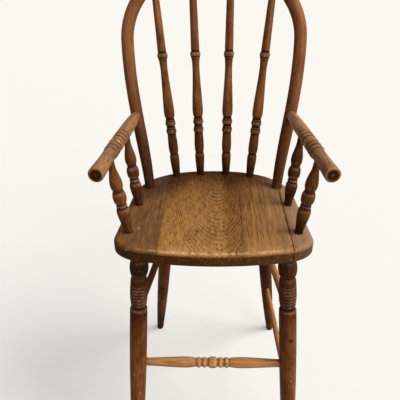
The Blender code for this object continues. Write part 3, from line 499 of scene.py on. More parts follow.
def front_leg_outline(length):
    leg = Outline(-SEAT_SINK, LEG_TENON_RADIUS)
    leg.taper_to(LEG_TENON_END, LEG_TENON_RADIUS)
    leg.taper(*LEG_NECK)
    leg.bead(*LEG_BALL, cuts=24)
    leg.taper_to(*LEG_BARREL_TOP)
    leg.shoulder(*LEG_BARREL_SHOULDER)
    for radius in LEG_RING_RADII:
        leg.taper(LEG_GROOVE_WIDTH, radius - LEG_GROOVE_DEPTH)
        leg.bead(LEG_RING_PITCH - LEG_GROOVE_WIDTH, radius)
    leg.sweep(*LEG_COVE)
    leg.shoulder(*LEG_COLLAR_SHOULDER, cuts=6)
    leg.taper(*LEG_COLLAR)
    leg.sweep(length - FOOT_EASE / 2 - leg.points[-1][0], *LEG_SHAFT_RADII)
    leg.sweep(FOOT_EASE, *LEG_FOOT_RADII)
    return leg


EMPTY_RUNG = (Vector((-0.1557, -0.17188, 0.211)), Vector((-0.13356, 0.14290, 0.211)))
SOCKET_RADIUS = 0.0063
SOCKET_DRILL = 0.04


def cut_away(piece, cutter):
    """Take one shape out of another for good."""
    cut = piece.modifiers.new("cut", "BOOLEAN")
    cut.operation = "DIFFERENCE"
    cut.solver = "EXACT"
    cut.object = cutter
    whole = piece.data
    piece.data = bpy.data.meshes.new_from_object(piece.evaluated_get(bpy.context.evaluated_depsgraph_get()))
    piece.modifiers.clear()
    bpy.data.meshes.remove(whole)
    bpy.data.objects.remove(cutter)


def bore_socket(piece, bottom, far_end):
    """Drill out the empty socket of a lost rung, dark inside."""
    bore = Outline(0.0, SOCKET_RADIUS)
    bore.taper(SOCKET_DRILL, SOCKET_RADIUS)
    mouth = bottom + (far_end - bottom).normalized() * SOCKET_DRILL
    bm = turn(bore, bottom, mouth, pith=(0.03, 0.0, 9.0), dirt_and_shade=((0.0, 1.0), (SOCKET_DRILL, 1.0)))
    cut_away(piece, add_piece("socket_drill", bm))


for side_name, side in SIDES.items():
    flip = Vector((side, 1, 1))
    top, foot = FRONT_LEG_TOP * flip, FRONT_LEG_FOOT * flip
    outline = front_leg_outline((foot - top).length)
    pith = (0.024, 0.030 * side, 0.3 + 0.4 * side)
    bm = turn(outline, top, foot, pith, joints=(0.0,), dirt_and_shade=LEG_DIRT_AND_SHADE[side_name], settle_and_shade=LEG_SETTLE_AND_SHADE)
    saw(bm, FLOOR_LEVEL, DOWN)
    leg = add_piece("turned_front_leg_" + side_name, bm)
    if side_name == "left":
        bore_socket(leg, *EMPTY_RUNG)
    dress(leg, LEG_WOOD, "front_leg_" + side_name)


# Rear legs. Two plainer legs in the same dark wood, spread wide behind the seat, each a long plain
# taper from a thick shoulder to a small rounded foot. The left one keeps an empty rung socket.

REAR_LEG_LINES = {
    "left": (Vector((-0.09579, 0.06188, 0.532)), Vector((-0.15829, 0.19759, 0.0))),
    "right": (Vector((0.10229, 0.06188, 0.532)), Vector((0.17179, 0.19759, 0.0))),
}
# Dirt and painted shade: the rear legs are darkened under the seat, the right one all along.
REAR_LEG_DIRT_AND_SHADE = {
    "left": (
        (0.0, 0.9), (0.25, 0.52), (0.3, 0.45), (0.345, 0.55), (0.39, 0.3), (0.44, 0.5), (0.48, 0.7), (0.53, 0.95),
    ),
    "right": ((0.0, 1.0), (0.24, 0.85), (0.3, 0.72), (0.4, 0.75), (0.45, 0.65)),
}
REAR_LEG_SHOULDER = (0.006, 0.0120, 0.0130, 0.0131)
REAR_SHAFT_RADII = (0.0170, 0.0168, 0.0093)
REAR_FOOT_RADII = (0.0091, 0.0082, 0.0055)


def rear_leg_outline(length):
    leg = Outline(-SEAT_SINK, LEG_TENON_RADIUS)
    leg.taper_to(LEG_TENON_END, LEG_TENON_RADIUS)
    leg.sweep(*REAR_LEG_SHOULDER)
    leg.sweep(length - FOOT_EASE / 2 - leg.points[-1][0], *REAR_SHAFT_RADII)
    leg.sweep(FOOT_EASE, *REAR_FOOT_RADII)
    return leg


for side_name, (top, foot) in REAR_LEG_LINES.items():
    outline = rear_leg_outline((foot - top).length)
    pith = (0.034, -0.016, 1.7 + 0.5 * SIDES[side_name])
    bm = turn(outline, top, foot, pith, joints=(0.0,), dirt_and_shade=REAR_LEG_DIRT_AND_SHADE[side_name])
    saw(bm, FLOOR_LEVEL, DOWN)
    leg = add_piece("turned_rear_leg_" + side_name, bm)
    if side_name == "left":
        bore_socket(leg, *reversed(EMPTY_RUNG))
    dress(leg, LEG_WOOD, "rear_leg_" + side_name)


# Front stretcher. A turned rung in a lighter, redder wood, fat at its quarter points, with five beads
# at the middle. Its ends are tenons in the front legs.

RUNG_WOOD = old_wood(
    "rung_wood",
    summer=tint(214, 152, 96),
    spring=tint(150, 92, 48),
    grime_and_shade=tint(96, 52, 24),
    worn_and_shining=tint(226, 170, 118),
    cloud=0.4,
    nicks=0.25,
)
FRONT_RUNG_END = Vector((0.14806, -0.16744, 0.2775))
FRONT_TENON_RADIUS = 0.0080
RUNG_TENON = 0.014
RUNG_JOINT = 0.012
FATTEST = 0.061
BEADS_BEGIN = 0.0335
SWELL_RADII = (0.0081, 0.0106, 0.0108)
FALL_RADII = (0.0109, 0.0110, 0.0086)
BEAD_FILLET = (0.0020, 0.0086)
SMALL_BEAD = (0.0075, 0.0106)
MIDDLE_BEAD = (0.0170, 0.0115)
FRONT_RUNG_SETTLE_AND_SHADE = 0.25


def front_rung_outline(length):
    """Cut from one end to the middle, then repeated the other way."""
    rung = Outline(0.0, FRONT_TENON_RADIUS)
    rung.taper(RUNG_TENON, FRONT_TENON_RADIUS)
    rung.sweep(length / 2 - FATTEST - RUNG_TENON, *SWELL_RADII)
    rung.sweep(FATTEST - BEADS_BEGIN, *FALL_RADII)
    for _ in range(2):
        rung.taper(*BEAD_FILLET)
        rung.bead(*SMALL_BEAD, cuts=14)
        rung.taper(*BEAD_FILLET)
    far_side = [(length - distance, radius) for distance, radius in reversed(rung.points)]
    rung.taper(*BEAD_FILLET)
    rung.bead(*MIDDLE_BEAD, cuts=20)
    rung.points += far_side
    return rung


left_end = FRONT_RUNG_END * Vector((-1, 1, 1))
length = (FRONT_RUNG_END - left_end).length
bm = turn(
    front_rung_outline(length), left_end, FRONT_RUNG_END, pith=(0.020, 0.022, 4.1),
    joints=(RUNG_JOINT, length - RUNG_JOINT), settle_and_shade=FRONT_RUNG_SETTLE_AND_SHADE,
)
dress(add_piece("turned_front_stretcher", bm), RUNG_WOOD, "front_stretcher")


# Side rungs. Plain turned rods from the front legs to the rear legs, in the same lighter wood, swelling
# a little in the middle. The lower left one is lost.

SIDE_RUNGS = {
    "upper_stretcher_left": (Vector((-0.1416, -0.15147, 0.406)), Vector((-0.11072, 0.09305, 0.406)), 0.0065, 0.0076),
    "upper_stretcher_right": (Vector((0.14169, -0.15146, 0.406)), Vector((0.11884, 0.09304, 0.406)), 0.0065, 0.0076),
    "lower_stretcher_right": (Vector((0.15578, -0.17188, 0.211)), Vector((0.14426, 0.14290, 0.211)), 0.0060, 0.0068),
}
RUNG_DIRT = {"upper_stretcher_left": 1.0, "upper_stretcher_right": 0.08, "lower_stretcher_right": 0.35}
RUNG_END_DIRT = 0.6
RUNG_END_REACH = 0.05

for number, (node, (near, far, end_radius, radius)) in enumerate(SIDE_RUNGS.items()):
    length = (far - near).length
    rung = Outline(0.0, end_radius)
    rung.taper(RUNG_TENON, end_radius)
    rung.sweep(length - 2 * RUNG_TENON, radius, radius, end_radius)
    rung.taper(RUNG_TENON, end_radius)
    middle, ends = RUNG_DIRT[node], max(RUNG_DIRT[node], RUNG_END_DIRT)
    dirt_and_shade = ((0.0, ends), (RUNG_END_REACH, middle), (length - RUNG_END_REACH, middle), (length, ends))
    joints = (RUNG_JOINT, length - RUNG_JOINT)
    bm = turn(rung, near, far, pith=(0.018, 0.014, 5.3 + number), joints=joints, dirt_and_shade=dirt_and_shade)
    dress(add_piece("turned_" + node, bm), RUNG_WOOD, node)


# Leg screw. A slotted dark steel wood screw, an old repair, driven into the front of the right leg a
# little below the upper rung. Its head is sunk most of the way into the wood.

SCREW_BASE = Vector((0.15051, -0.17490, 0.350))
SCREW_WAY = Vector((0.2924, -0.9563, 0.0))
SCREW_SHANK_RADIUS = 0.0024
SCREW_SHANK = (-0.0060, -0.0012)
SCREW_HEAD_RADIUS = 0.00525
SCREW_HEAD_EDGE = (-0.0010, 0.0010)
SCREW_DOME = (0.0016, 0.0052, 0.0045, 0.0030)
SLOT_SIZE = (0.02, 0.0013, 0.003)
SLOT_EASE = 0.0002
SLOT_HEIGHT = 0.0029
SLOT_TURN = math.radians(40)


def round_edges(bm, edges, radius, segments):
    bmesh.ops.bevel(
        bm, geom=edges, offset=radius, offset_type="OFFSET", segments=segments, profile=0.5, affect="EDGES",
        material=-1,
    )


head = Outline(SCREW_SHANK[0], SCREW_SHANK_RADIUS)
head.taper_to(SCREW_SHANK[1], SCREW_SHANK_RADIUS)
for distance in SCREW_HEAD_EDGE:
    head.taper_to(distance, SCREW_HEAD_RADIUS)
head.sweep(*SCREW_DOME)
bm = turn(head, SCREW_BASE, SCREW_BASE + SCREW_WAY, pith=(0, 0, 0))
screw = add_piece("slotted_leg_screw", bm)
bm = bmesh.new()
bmesh.ops.create_cube(bm, size=1.0)
bmesh.ops.scale(bm, vec=SLOT_SIZE, verts=bm.verts)
round_edges(bm, bm.edges[:], SLOT_EASE, segments=1)
slot_place = (
    Matrix.Translation(SCREW_BASE + SCREW_WAY * SLOT_HEIGHT)
    @ SCREW_WAY.to_track_quat("Z", "Y").to_matrix().to_4x4()
    @ Matrix.Rotation(SLOT_TURN, 4, "Z")
)
bmesh.ops.transform(bm, matrix=slot_place, verts=bm.verts)
cut_away(screw, add_piece("slot_saw", bm))

DARK_STEEL = tint(40, 30, 24)
RUST = tint(48, 27, 16)
STEEL_GLOSS = 0.2
SCREW_STEEL = bpy.data.materials.new("screw_steel")
SCREW_STEEL.use_nodes = True
tree = SCREW_STEEL.node_tree
here = add_node(tree, "ShaderNodeTexCoord", {}).outputs["Object"]
rust = ease(tree, mottle(tree, here, (700, 700, 700), detail=4.0).outputs["Fac"], 0.42, 0.62)
steel = tree.nodes["Principled BSDF"]
tree.links.new(blend(tree, rust, DARK_STEEL, RUST), steel.inputs["Base Color"])
tree.links.new(work_out(tree, "MULTIPLY_ADD", rust, 0.35, 0.42), steel.inputs["Roughness"])
steel.inputs["Specular IOR Level"].default_value = STEEL_GLOSS
tree.links.new(work_out(tree, "MULTIPLY_ADD", rust, -0.2, 0.3), steel.inputs["Metallic"])
dress(screw, SCREW_STEEL, "leg_screw")


# Seat. Four boards of golden oak glued edge to edge, cut to a rounded plan and softened all round.
# The middle is worn bright. Dirt has settled along the back, on the outer boards, in a streak right of
# the middle and round the sockets. The rim and the underside are darkened as dirt and painted shade,
# the front edge is paler as wear and a painted highlight, and dust and a painted sheen pale the right board.

SEAT_TOP = 0.560
SEAT_UNDERSIDE = 0.532
SEAT_FRONT = -0.183125
HALF_SEAT = 0.1784
SEAT_DEPTH = 0.322
CORNER_IN = 0.0424
FRONT_CURVE = 0.014
WIDEST_BACK = 0.056
SHOULDER_IN = 0.0109
SHOULDER_FORWARD = 0.119
CORNER_PULLS = (0.018, 0.022)
BACK_PULLS = (0.072, 0.112)
FRONT_STEPS = 24
TOP_ROUND = 0.008
BOTTOM_ROUND = 0.004
SEAM_GAPS = {-0.0960: 0.00005, 0.0527: 0.00005, 0.1384: 0.0006}
SEAM_ROUND = 0.0002
SLICE = 0.0045


def seat_plan():
    """Right half of the plan, from the middle of the front edge round to the middle of the rear edge."""
    corner_start = Vector((HALF_SEAT - CORNER_IN, FRONT_CURVE))
    front_radius = (corner_start.x ** 2 + corner_start.y ** 2) / (2 * corner_start.y)
    sweep = math.asin(corner_start.x / front_radius)
    angles = [sweep * step / FRONT_STEPS for step in range(FRONT_STEPS)]
    front = [Vector((front_radius * math.sin(angle), front_radius * (1 - math.cos(angle)))) for angle in angles]
    along_front = Vector((math.cos(sweep), math.sin(sweep)))
    widest = Vector((HALF_SEAT, WIDEST_BACK))
    shoulder = Vector((HALF_SEAT - SHOULDER_IN, SEAT_DEPTH - SHOULDER_FORWARD))
    along_side = (shoulder - widest).normalized()
    rear = Vector((0.0, SEAT_DEPTH))
    leave, arrive = CORNER_PULLS
    corner = interpolate_bezier(
        corner_start, corner_start + along_front * leave, widest - along_side * arrive, widest, 17
    )
    leave, arrive = BACK_PULLS
    back = interpolate_bezier(shoulder, shoulder + along_side * leave, rear + Vector((arrive, 0.0)), rear, 49)
    return front + [Vector(point) for point in corner + back]


right_half = seat_plan()
left_half = [Vector((-point.x, point.y)) for point in reversed(right_half[1:-1])]
plank = bmesh.new()
rim = [plank.verts.new((point.x, point.y + SEAT_FRONT, SEAT_UNDERSIDE)) for point in right_half + left_half]
underside = plank.faces.new(rim)
raised = bmesh.ops.extrude_face_region(plank, geom=[underside])["geom"]
top_rim = {item for item in raised if isinstance(item, bmesh.types.BMVert)}
bmesh.ops.translate(plank, vec=(0, 0, SEAT_TOP - SEAT_UNDERSIDE), verts=list(top_rim))
bmesh.ops.recalc_face_normals(plank, faces=plank.faces)
upper_edges = [edge for edge in plank.edges if all(vert in top_rim for vert in edge.verts)]
lower_edges = [edge for edge in plank.edges if not any(vert in top_rim for vert in edge.verts)]
round_edges(plank, upper_edges, TOP_ROUND, segments=6)
round_edges(plank, lower_edges, BOTTOM_ROUND, segments=6)
for across, low, high in (
    (Vector((1, 0, 0)), -HALF_SEAT, HALF_SEAT),
    (Vector((0, 1, 0)), SEAT_FRONT, SEAT_FRONT + SEAT_DEPTH),
):
    cuts = round((high - low) / SLICE)
    for cut in range(1, cuts):
        saw(plank, across * (low + (high - low) * cut / cuts), across, drop=False)
whole_plank = bpy.data.meshes.new("plank")
plank.to_mesh(whole_plank)
plank.free()

SEAT_SOCKETS = [
    (side * across, back, radius)
    for side in (-1, 1)
    for across, back, radius in (
        (0.0818, 0.1110, 0.0082), (0.0287, 0.1211, 0.0082), (0.1540, -0.1151, 0.0075), (0.1487, -0.0166, 0.0075),
        (0.1354, 0.0569, 0.0102),
    )
]
BOARD_PITHS = {
    "left": (-0.300, 0.060, 0.02),
    "centre_left": (0.008, 0.050, -0.22),
    "centre_right": (0.230, 0.040, 0.03),
    "right": (0.020, 0.050, -0.02),
}
BOARD_DIRT = {"left": 0.74, "centre_left": 0.0, "centre_right": 0.0, "right": 0.5}
SEAT_MIDDLE = 0.015
BACK_DIRT = ((-0.09, 0.0), (0.0, 0.25), (0.03, 0.39), (0.057, 0.56), (0.085, 0.74), (0.11, 0.86), (0.135, 0.95))
SIDE_DIRT = ((0.09, 0.0), (0.15, 0.5), (0.19, 0.8))
STREAK_DIRT = ((0.014, 0.0), (0.030, 0.50), (0.046, 0.52), (0.060, 0.27), (0.068, 0.0))
# Dust and painted sheen: a pale film on the outer boards, most on the right one, as dust and as a painted reflection.
SEAT_DUST_AND_SHEEN = ((-0.100, 0.04), (-0.095, 0.0), (0.08, 0.0), (0.105, 0.04), (0.135, 0.12), (0.15, 0.24), (0.175, 0.36))
LEAST_DUST_AND_SHEEN = 0.25
DIRTY_LEFT = -0.035
SOCKET_DIRT = 0.95
SOCKET_DIRT_REACH = 0.011
SOCKET_DIRT_FALL = 1.3
# Painted shade: the rim and the underside are darkened by how little they face up, as dirt and painted shade.
RIM_DIRT_AND_SHADE = ((-0.15, 0.97), (0.0, 0.85))
RIM_SHADE_BY_SLOPE = ((0.12, 1.0), (0.42, 0.0))


def seat_dirt_and_shade(place, facing):
    """Dirt by how near a place is to the sides, the back and the sockets. The rim and the underside are darkened with
    dirt and painted shade.
    """
    from_front = place.y + max(0.0, DIRTY_LEFT - place.x)
    settled = 1 - (1 - along(BACK_DIRT, from_front)) * (1 - along(STREAK_DIRT, place.x))
    settled = max(settled, along(SIDE_DIRT, abs(place.x - SEAT_MIDDLE)))
    nearest = min(math.hypot(place.x - across, place.y - back) - radius for across, back, radius in SEAT_SOCKETS)
    socket = SOCKET_DIRT * max(0.0, 1 - nearest / SOCKET_DIRT_REACH) ** SOCKET_DIRT_FALL
    return max(settled, socket, along(RIM_DIRT_AND_SHADE, place.x) * along(RIM_SHADE_BY_SLOPE, facing))


# Painted highlight: the round of the front edge is made paler by how steeply it faces, as wear and a painted
# highlight.
FRONT_EDGE = -0.158
FRONT_EDGE_CURVE = 0.6
FRONT_HIGHLIGHT_WIDTH = 0.008
HIGHLIGHT_HALF_WIDTH = 0.15
LEVEL_WEAR_AND_HIGHLIGHT = ((0.0, 0.25), (0.025, 0.25), (0.10, 1.0))
STEEP_WEAR_AND_HIGHLIGHT = ((0.45, 0.0), (0.75, 1.0))


def seat_wear_and_highlight(place, facing):
    """Wear and a painted highlight along the round of the front edge, most in the middle."""
    edge = along(LEVEL_WEAR_AND_HIGHLIGHT, 1 - facing) * along(STEEP_WEAR_AND_HIGHLIGHT, facing)
    front = portion((FRONT_EDGE + FRONT_EDGE_CURVE * place.x ** 2 - place.y) / FRONT_HIGHLIGHT_WIDTH)
    return edge * front * max(0.0, 1 - (place.x / HIGHLIGHT_HALF_WIDTH) ** 4)


DISH_DEPTH = 0.0012
DISH_HALF_WIDTH = 0.15
DISH_HALF_LENGTH = 0.13
DISH_MIDDLE = -0.03
SEAT_WAVES = 0.0005
WAVE_SCALE = 28


def hollow_out(place):
    """How far the seat is dished, and the wood has moved, at a place: most on top and nothing underneath."""
    height = (place.z - SEAT_UNDERSIDE) / (SEAT_TOP - SEAT_UNDERSIDE)
    off_middle = Vector((place.x / DISH_HALF_WIDTH, (place.y - DISH_MIDDLE) / DISH_HALF_LENGTH)).length
    dish = DISH_DEPTH * max(0.0, 1 - off_middle ** 2)
    waves = SEAT_WAVES * (1 + noise.noise(place * WAVE_SCALE)) / 2
    return (dish + waves) * max(0.0, height) ** 3


SEAT_WOOD = old_wood(
    "seat_wood",
    summer=tint(190, 138, 76),
    spring=tint(116, 70, 28),
    grime_and_shade=tint(48, 24, 8),
    worn_and_shining=tint(218, 172, 120),
    rings=(0.0031, 0.72),
    cloud=0.30,
    nicks=0.1,
    pores=0.65,
    dust_and_sheen_share=1.0,
    chips=(
        (-0.1370, -0.1036, 0.5600, 0.0020),
        (-0.0739, -0.1246, 0.5600, 0.0013),
        (-0.1511, -0.1631, 0.5537, 0.0014),
    ),
)

seams = (None, *SEAM_GAPS, None)
for (board_name, pith), low, high in zip(BOARD_PITHS.items(), seams, seams[1:]):
    bm = bmesh.new()
    bm.from_mesh(whole_plank)
    for across, way in ((low, -1), (high, 1)):
        if across is None:
            continue
        seam = across - way * SEAM_GAPS[across]
        saw(bm, (seam, 0, 0), (way, 0, 0))
        arris = [
            edge for edge in bm.edges if edge.calc_face_angle(0.0) > CREASE
            and all(abs(vert.co.x - seam) < MERGE_DISTANCE for vert in edge.verts)
        ]
        round_edges(bm, arris, SEAM_ROUND, segments=2)
    bm.normal_update()
    billet, grime_and_shade, wear_and_highlight = add_marks(bm)
    dust_and_sheen = bm.verts.layers.float.new("dust_and_sheen")
    pith_across, pith_below, climb = pith
    for vert in bm.verts:
        place, facing = vert.co, vert.normal.z
        below = pith_below + climb * place.y + (place.z - SEAT_TOP)
        vert[billet] = (place.x - pith_across, below, place.y + pith_across)
        # Grime and painted shade, wear and painted highlight, dust and painted sheen, from the plan and the slope.
        vert[grime_and_shade] = max(seat_dirt_and_shade(place, facing), BOARD_DIRT[board_name])
        vert[wear_and_highlight] = seat_wear_and_highlight(place, facing)
        vert[dust_and_sheen] = along(SEAT_DUST_AND_SHEEN, place.x) * min(max(facing, LEAST_DUST_AND_SHEEN), 1.0)
        place.z -= hollow_out(place)
    dress(add_piece("seat_plank_" + board_name, bm), SEAT_WOOD, "seat_board_" + board_name)
bpy.data.meshes.remove(whole_plank)


# Bow. One steam-bent rod of hickory that rises from the seat, spreads, and closes over in an arch. It
# tapers towards its feet, which are glued into the seat, and is polished by hands along its sides.

BOW_SETBACK = 0.056888
BOW_LEAN = math.radians(14)
BOW_FOOT = Vector((0.13536, 0.0))
BOW_WIDEST = Vector((0.16936, 0.297))
BOW_TOP = Vector((0.0, 0.442))
BOW_STEPS = 36
BOW_SIDES = 40
QUARTER_ELLIPSE = 0.5523
BOW_FOOT_PULL = Vector((0.0085, 0.100))
BOW_WIDEST_PULL = Vector((0.0, 0.110))
BOW_FOOT_RADIUS = 0.0101
BOW_SWELL = 0.0024
BOW_SWELL_END = 0.130
BOW_DIRT = ((0.0, 0.97), (0.11, 0.85), (0.17, 0.65), (0.23, 0.3), (0.29, 0.0))
BOW_SIDE_DIRT = {"left": 1.0, "right": 0.85}
BOW_RUB = 0.25
BOW_PITH = (0.026, 0.018)


def side_of(point):
    return "left" if point.x < 0 else "right"


def bow_place(across, up):
    """A place in the leaning plane of the bow."""
    return Vector((across, BOW_SETBACK + up * math.sin(BOW_LEAN), SEAT_TOP + up * math.cos(BOW_LEAN)))


flank = interpolate_bezier(
    BOW_FOOT, BOW_FOOT + BOW_FOOT_PULL, BOW_WIDEST - BOW_WIDEST_PULL, BOW_WIDEST, BOW_STEPS + 1
)
up_pull = Vector((0.0, (BOW_TOP.y - BOW_WIDEST.y) * QUARTER_ELLIPSE))
out_pull = Vector((BOW_WIDEST.x * QUARTER_ELLIPSE, 0.0))
arch = interpolate_bezier(BOW_WIDEST, BOW_WIDEST + up_pull, BOW_TOP + out_pull, BOW_TOP, BOW_STEPS + 1)
right_path = [Vector(point) for point in [*flank, *arch[1:]]]
sunk_foot = right_path[0] + (right_path[0] - right_path[1]).normalized() * SEAT_SINK
right_path.insert(0, sunk_foot)
bow_path = right_path + [Vector((-point.x, point.y)) for point in reversed(right_path[:-1])]

bm = bmesh.new()
billet, grime_and_shade, wear_and_highlight = add_marks(bm)
lean_out = Vector((0.0, -math.cos(BOW_LEAN), math.sin(BOW_LEAN)))
run = 0.0
rings = []
for number, point in enumerate(bow_path):
    before = bow_path[max(number - 1, 0)]
    after = bow_path[min(number + 1, len(bow_path) - 1)]
    run += (point - before).length
    way = (bow_place(*after) - bow_place(*before)).normalized()
    share = portion(point.y / BOW_SWELL_END)
    radius = BOW_FOOT_RADIUS + BOW_SWELL * math.sin(math.pi / 2 * share)
    turned = Matrix((lean_out, way.cross(lean_out), way)).transposed().to_4x4()
    ring = bmesh.ops.create_circle(bm, segments=BOW_SIDES, radius=radius)["verts"]
    for vert in ring:
        vert[billet] = vert.co + Vector((*BOW_PITH, run))
        vert[grime_and_shade] = along(BOW_DIRT, point.y) * BOW_SIDE_DIRT[side_of(point)]
        vert[wear_and_highlight] = BOW_RUB * share
        vert.co *= 1 - unevenness(vert[billet]) / radius
    bmesh.ops.transform(bm, matrix=Matrix.Translation(bow_place(*point)) @ turned, verts=ring)
    rings.append(list({edge for vert in ring for edge in vert.link_edges}))
for ring, next_ring in zip(rings, rings[1:]):
    bmesh.ops.bridge_loops(bm, edges=ring + next_ring)
close_ends(bm)
BACK_WOOD = old_wood(
    "back_wood",
    summer=tint(159, 101, 58),
    spring=tint(92, 51, 24),
    grime_and_shade=tint(38, 19, 8),
    worn_and_shining=tint(176, 118, 70),
    cloud=0.65,
    nicks=0.3,
    dust_and_sheen_share=0.10,
)
dress(add_piece("bent_bow", bm), BACK_WOOD, "bow")


# Back spindles. Four turned rods fanned between the seat and the bow: a swelling foot, a waist, two pairs
# of beads, a long swelling body and a last bead under a plain stem. Both ends are glued into sockets.

SPINDLE_LINES = {
    "outer_left": (Vector((-0.0818, 0.11102, 0.56)), Vector((-0.1145, 0.15459, 0.95185))),
    "inner_left": (Vector((-0.0287, 0.12112, 0.56)), Vector((-0.0420, 0.16272, 0.98448))),
    "inner_right": (Vector((0.0287, 0.12112, 0.56)), Vector((0.0330, 0.16315, 0.98617))),
    "outer_right": (Vector((0.0818, 0.11102, 0.56)), Vector((0.1145, 0.15459, 0.95185))),
}
SPINDLE_TENON_RADIUS = 0.0082


def spindle_outline(length):
    """Each cut gives its length along the spindle, then its radii."""
    spindle = Outline(-SEAT_SINK, SPINDLE_TENON_RADIUS)
    spindle.taper_to(0.0, SPINDLE_TENON_RADIUS)
    spindle.sweep(0.042, 0.0084, 0.0103, 0.0103)
    spindle.fall(0.0070, 0.0089)
    spindle.taper(0.0040, 0.0087)
    spindle.shoulder(0.0075, 0.0102)
    spindle.sweep(0.0365, 0.0109, 0.0096, 0.0093)
    for _ in range(2):
        spindle.bead(0.010, 0.0111, cuts=14)
        spindle.bead(0.003, 0.0099, cuts=6)
        spindle.sweep(0.0045, 0.0093, 0.0089, 0.0091)
    spindle.shoulder(0.013, 0.0113, cuts=10)
    spindle.sweep(0.088, 0.0106, 0.0079, 0.0074)
    spindle.sweep(0.018, 0.0074, 0.0080, 0.0086)
    spindle.bead(0.003, 0.0096, cuts=6)
    spindle.bead(0.010, 0.0107, cuts=14)
    spindle.sweep(0.005, 0.0083, 0.0089, 0.0088)
    spindle.sweep(length - spindle.points[-1][0], 0.0079, 0.0073, 0.0064)
    return spindle


SPINDLE_DIRT = {
    "left": ((0.0, 0.95), (0.03, 0.80), (0.13, 0.7), (0.17, 0.2), (0.25, 0.3), (0.3, 0.05)),
    "right": ((0.0, 0.95), (0.03, 0.7), (0.10, 0.5), (0.14, 0.22), (0.18, 0.0)),
}
for number, (place, (foot, top)) in enumerate(SPINDLE_LINES.items()):
    outline = spindle_outline((top - foot).length)
    pith = (0.016, 0.020 - 0.010 * number, 11.0 + 1.3 * number)
    bm = turn(outline, foot, top, pith, joints=(0.0,), dirt_and_shade=SPINDLE_DIRT[side_of(foot)])
    node = "back_spindle_" + place
    dress(add_piece("turned_" + node, bm), BACK_WOOD, node)


# Arms. Two turned arms in pale worn wood, each let into the bow behind and free in front, with two sets of
# three scored grooves and a thickening grip. The sawn front ends show the heart of the branch.

ARM_LINE = (Vector((0.15687, 0.09404, 0.709)), Vector((0.17420, -0.20311, 0.719)))
ARM_WOOD = old_wood(
    "arm_wood",
    summer=tint(200, 139, 82),
    spring=tint(120, 72, 34),
    grime_and_shade=tint(34, 17, 8),
    worn_and_shining=tint(160, 124, 94),
    rings=(0.0016, 0.3),
    cloud=0.6,
    nicks=0.3,
    pores=1.8,
    dust_and_sheen_share=0.05,
    chips=((-0.1602, -0.0873, 0.7249, 0.0024),),
)
ARM_REAR_RADIUS = 0.0084
ARM_END_RADIUS = 0.0106
ARM_END_EASE = 0.002
RINGS_BEGIN = 0.131
RINGS_APART = 0.028
ARM_RING_WIDTH = 0.0135
SCORE = (0.0032, 0.0114, 0.0112, 0.0117)
SCORE_WIDTH = SCORE[0]


def score_rings(arm):
    """Two low rounded rings, with a groove scored on each side of both."""
    for _ in range(2):
        arm.sweep(*SCORE)
        arm.sweep(ARM_RING_WIDTH - SCORE_WIDTH, 0.0131, 0.0131, 0.0123)
    arm.sweep(*SCORE)


def arm_outline(length):
    """The end is cut into narrower circles, so that its dirt can fade towards the rim."""
    arm = Outline(0.0, ARM_REAR_RADIUS)
    arm.sweep(RINGS_BEGIN - SCORE_WIDTH / 2, 0.0122, 0.0126, 0.0122)
    score_rings(arm)
    arm.sweep(RINGS_APART - SCORE_WIDTH, 0.0131, 0.0131, 0.0122)
    score_rings(arm)
    arm.sweep(length - ARM_END_EASE - arm.points[-1][0], 0.0103, 0.0125, 0.0124)
    arm.sweep(ARM_END_EASE, 0.0123, 0.0118, ARM_END_RADIUS)
    for share in (0.75, 0.5, 0.25):
        arm.points.append((length, ARM_END_RADIUS * share))
    return arm


ARM_DIRT = {
    "left": ((0.0, 0.85), (0.02, 0.8), (0.06, 0.6), (0.1, 0.46), (0.27, 0.4), (0.2955, 0.4), (0.2975, 0.62)),
    "right": ((0.0, 0.3), (0.02, 0.05), (0.06, 0.0), (0.15, 0.0), (0.27, 0.05), (0.2955, 0.1), (0.2975, 0.25)),
}
ARM_RUB = {
    "left": ((0.0, 0.12), (0.02, 0.54), (0.10, 0.54), (0.28, 0.54), (0.293, 0.0)),
    "right": ((0.0, 0.0), (0.15, 0.0), (0.24, 0.2), (0.293, 0.0)),
}
ARM_SETTLE_AND_SHADE = 0.8
for side_name, side in SIDES.items():
    rear, front = (point * Vector((side, 1, 1)) for point in ARM_LINE)
    outline = arm_outline((front - rear).length)
    pith = (0.003, 0.002, 21.0 + side)
    bm = turn(outline, rear, front, pith, dirt_and_shade=ARM_DIRT[side_name], rub=ARM_RUB[side_name], settle_and_shade=ARM_SETTLE_AND_SHADE)
    dress(add_piece("turned_arm_" + side_name, bm), ARM_WOOD, "arm_" + side_name)


# Arm posts. Two short turned posts carry each arm: a bulb, a ring, a ball and a vase that narrows to a
# tenon under the arm. Their feet are glued into the seat.

POST_LINES = {
    "front": (Vector((0.15401, -0.11511, 0.56)), Vector((0.17149, -0.12229, 0.71628)), 0.0745, 0.0115),
    "rear": (Vector((0.14871, -0.01661, 0.56)), Vector((0.16459, -0.00406, 0.71230)), 0.0695, 0.0123),
}
POST_TENON_RADIUS = 0.0074
BULB_BELOW_BALL = 0.030
POST_STEM = 0.0126


def post_outline(length, ball_height, arm_radius):
    """Each cut gives its length along the post, then its radii."""
    post = Outline(-SEAT_SINK, POST_TENON_RADIUS)
    post.taper_to(0.0, POST_TENON_RADIUS)
    post.sweep(ball_height - BULB_BELOW_BALL, POST_TENON_RADIUS, 0.0116, 0.0118)
    post.fall(0.0085, 0.0088)
    post.bead(0.0025, 0.0095, cuts=6)
    post.bead(0.0040, 0.0099, cuts=8)
    post.taper(0.0030, 0.0082)
    post.bead(0.024, 0.0121, cuts=20)
    post.taper(0.0015, 0.0082)
    post.bead(0.0030, 0.0094, cuts=6)
    post.shoulder(0.0085, 0.0111)
    post.sweep(length - arm_radius - POST_STEM - post.points[-1][0], 0.0115, 0.0066, 0.0062)
    post.taper_to(length, 0.0062)
    return post


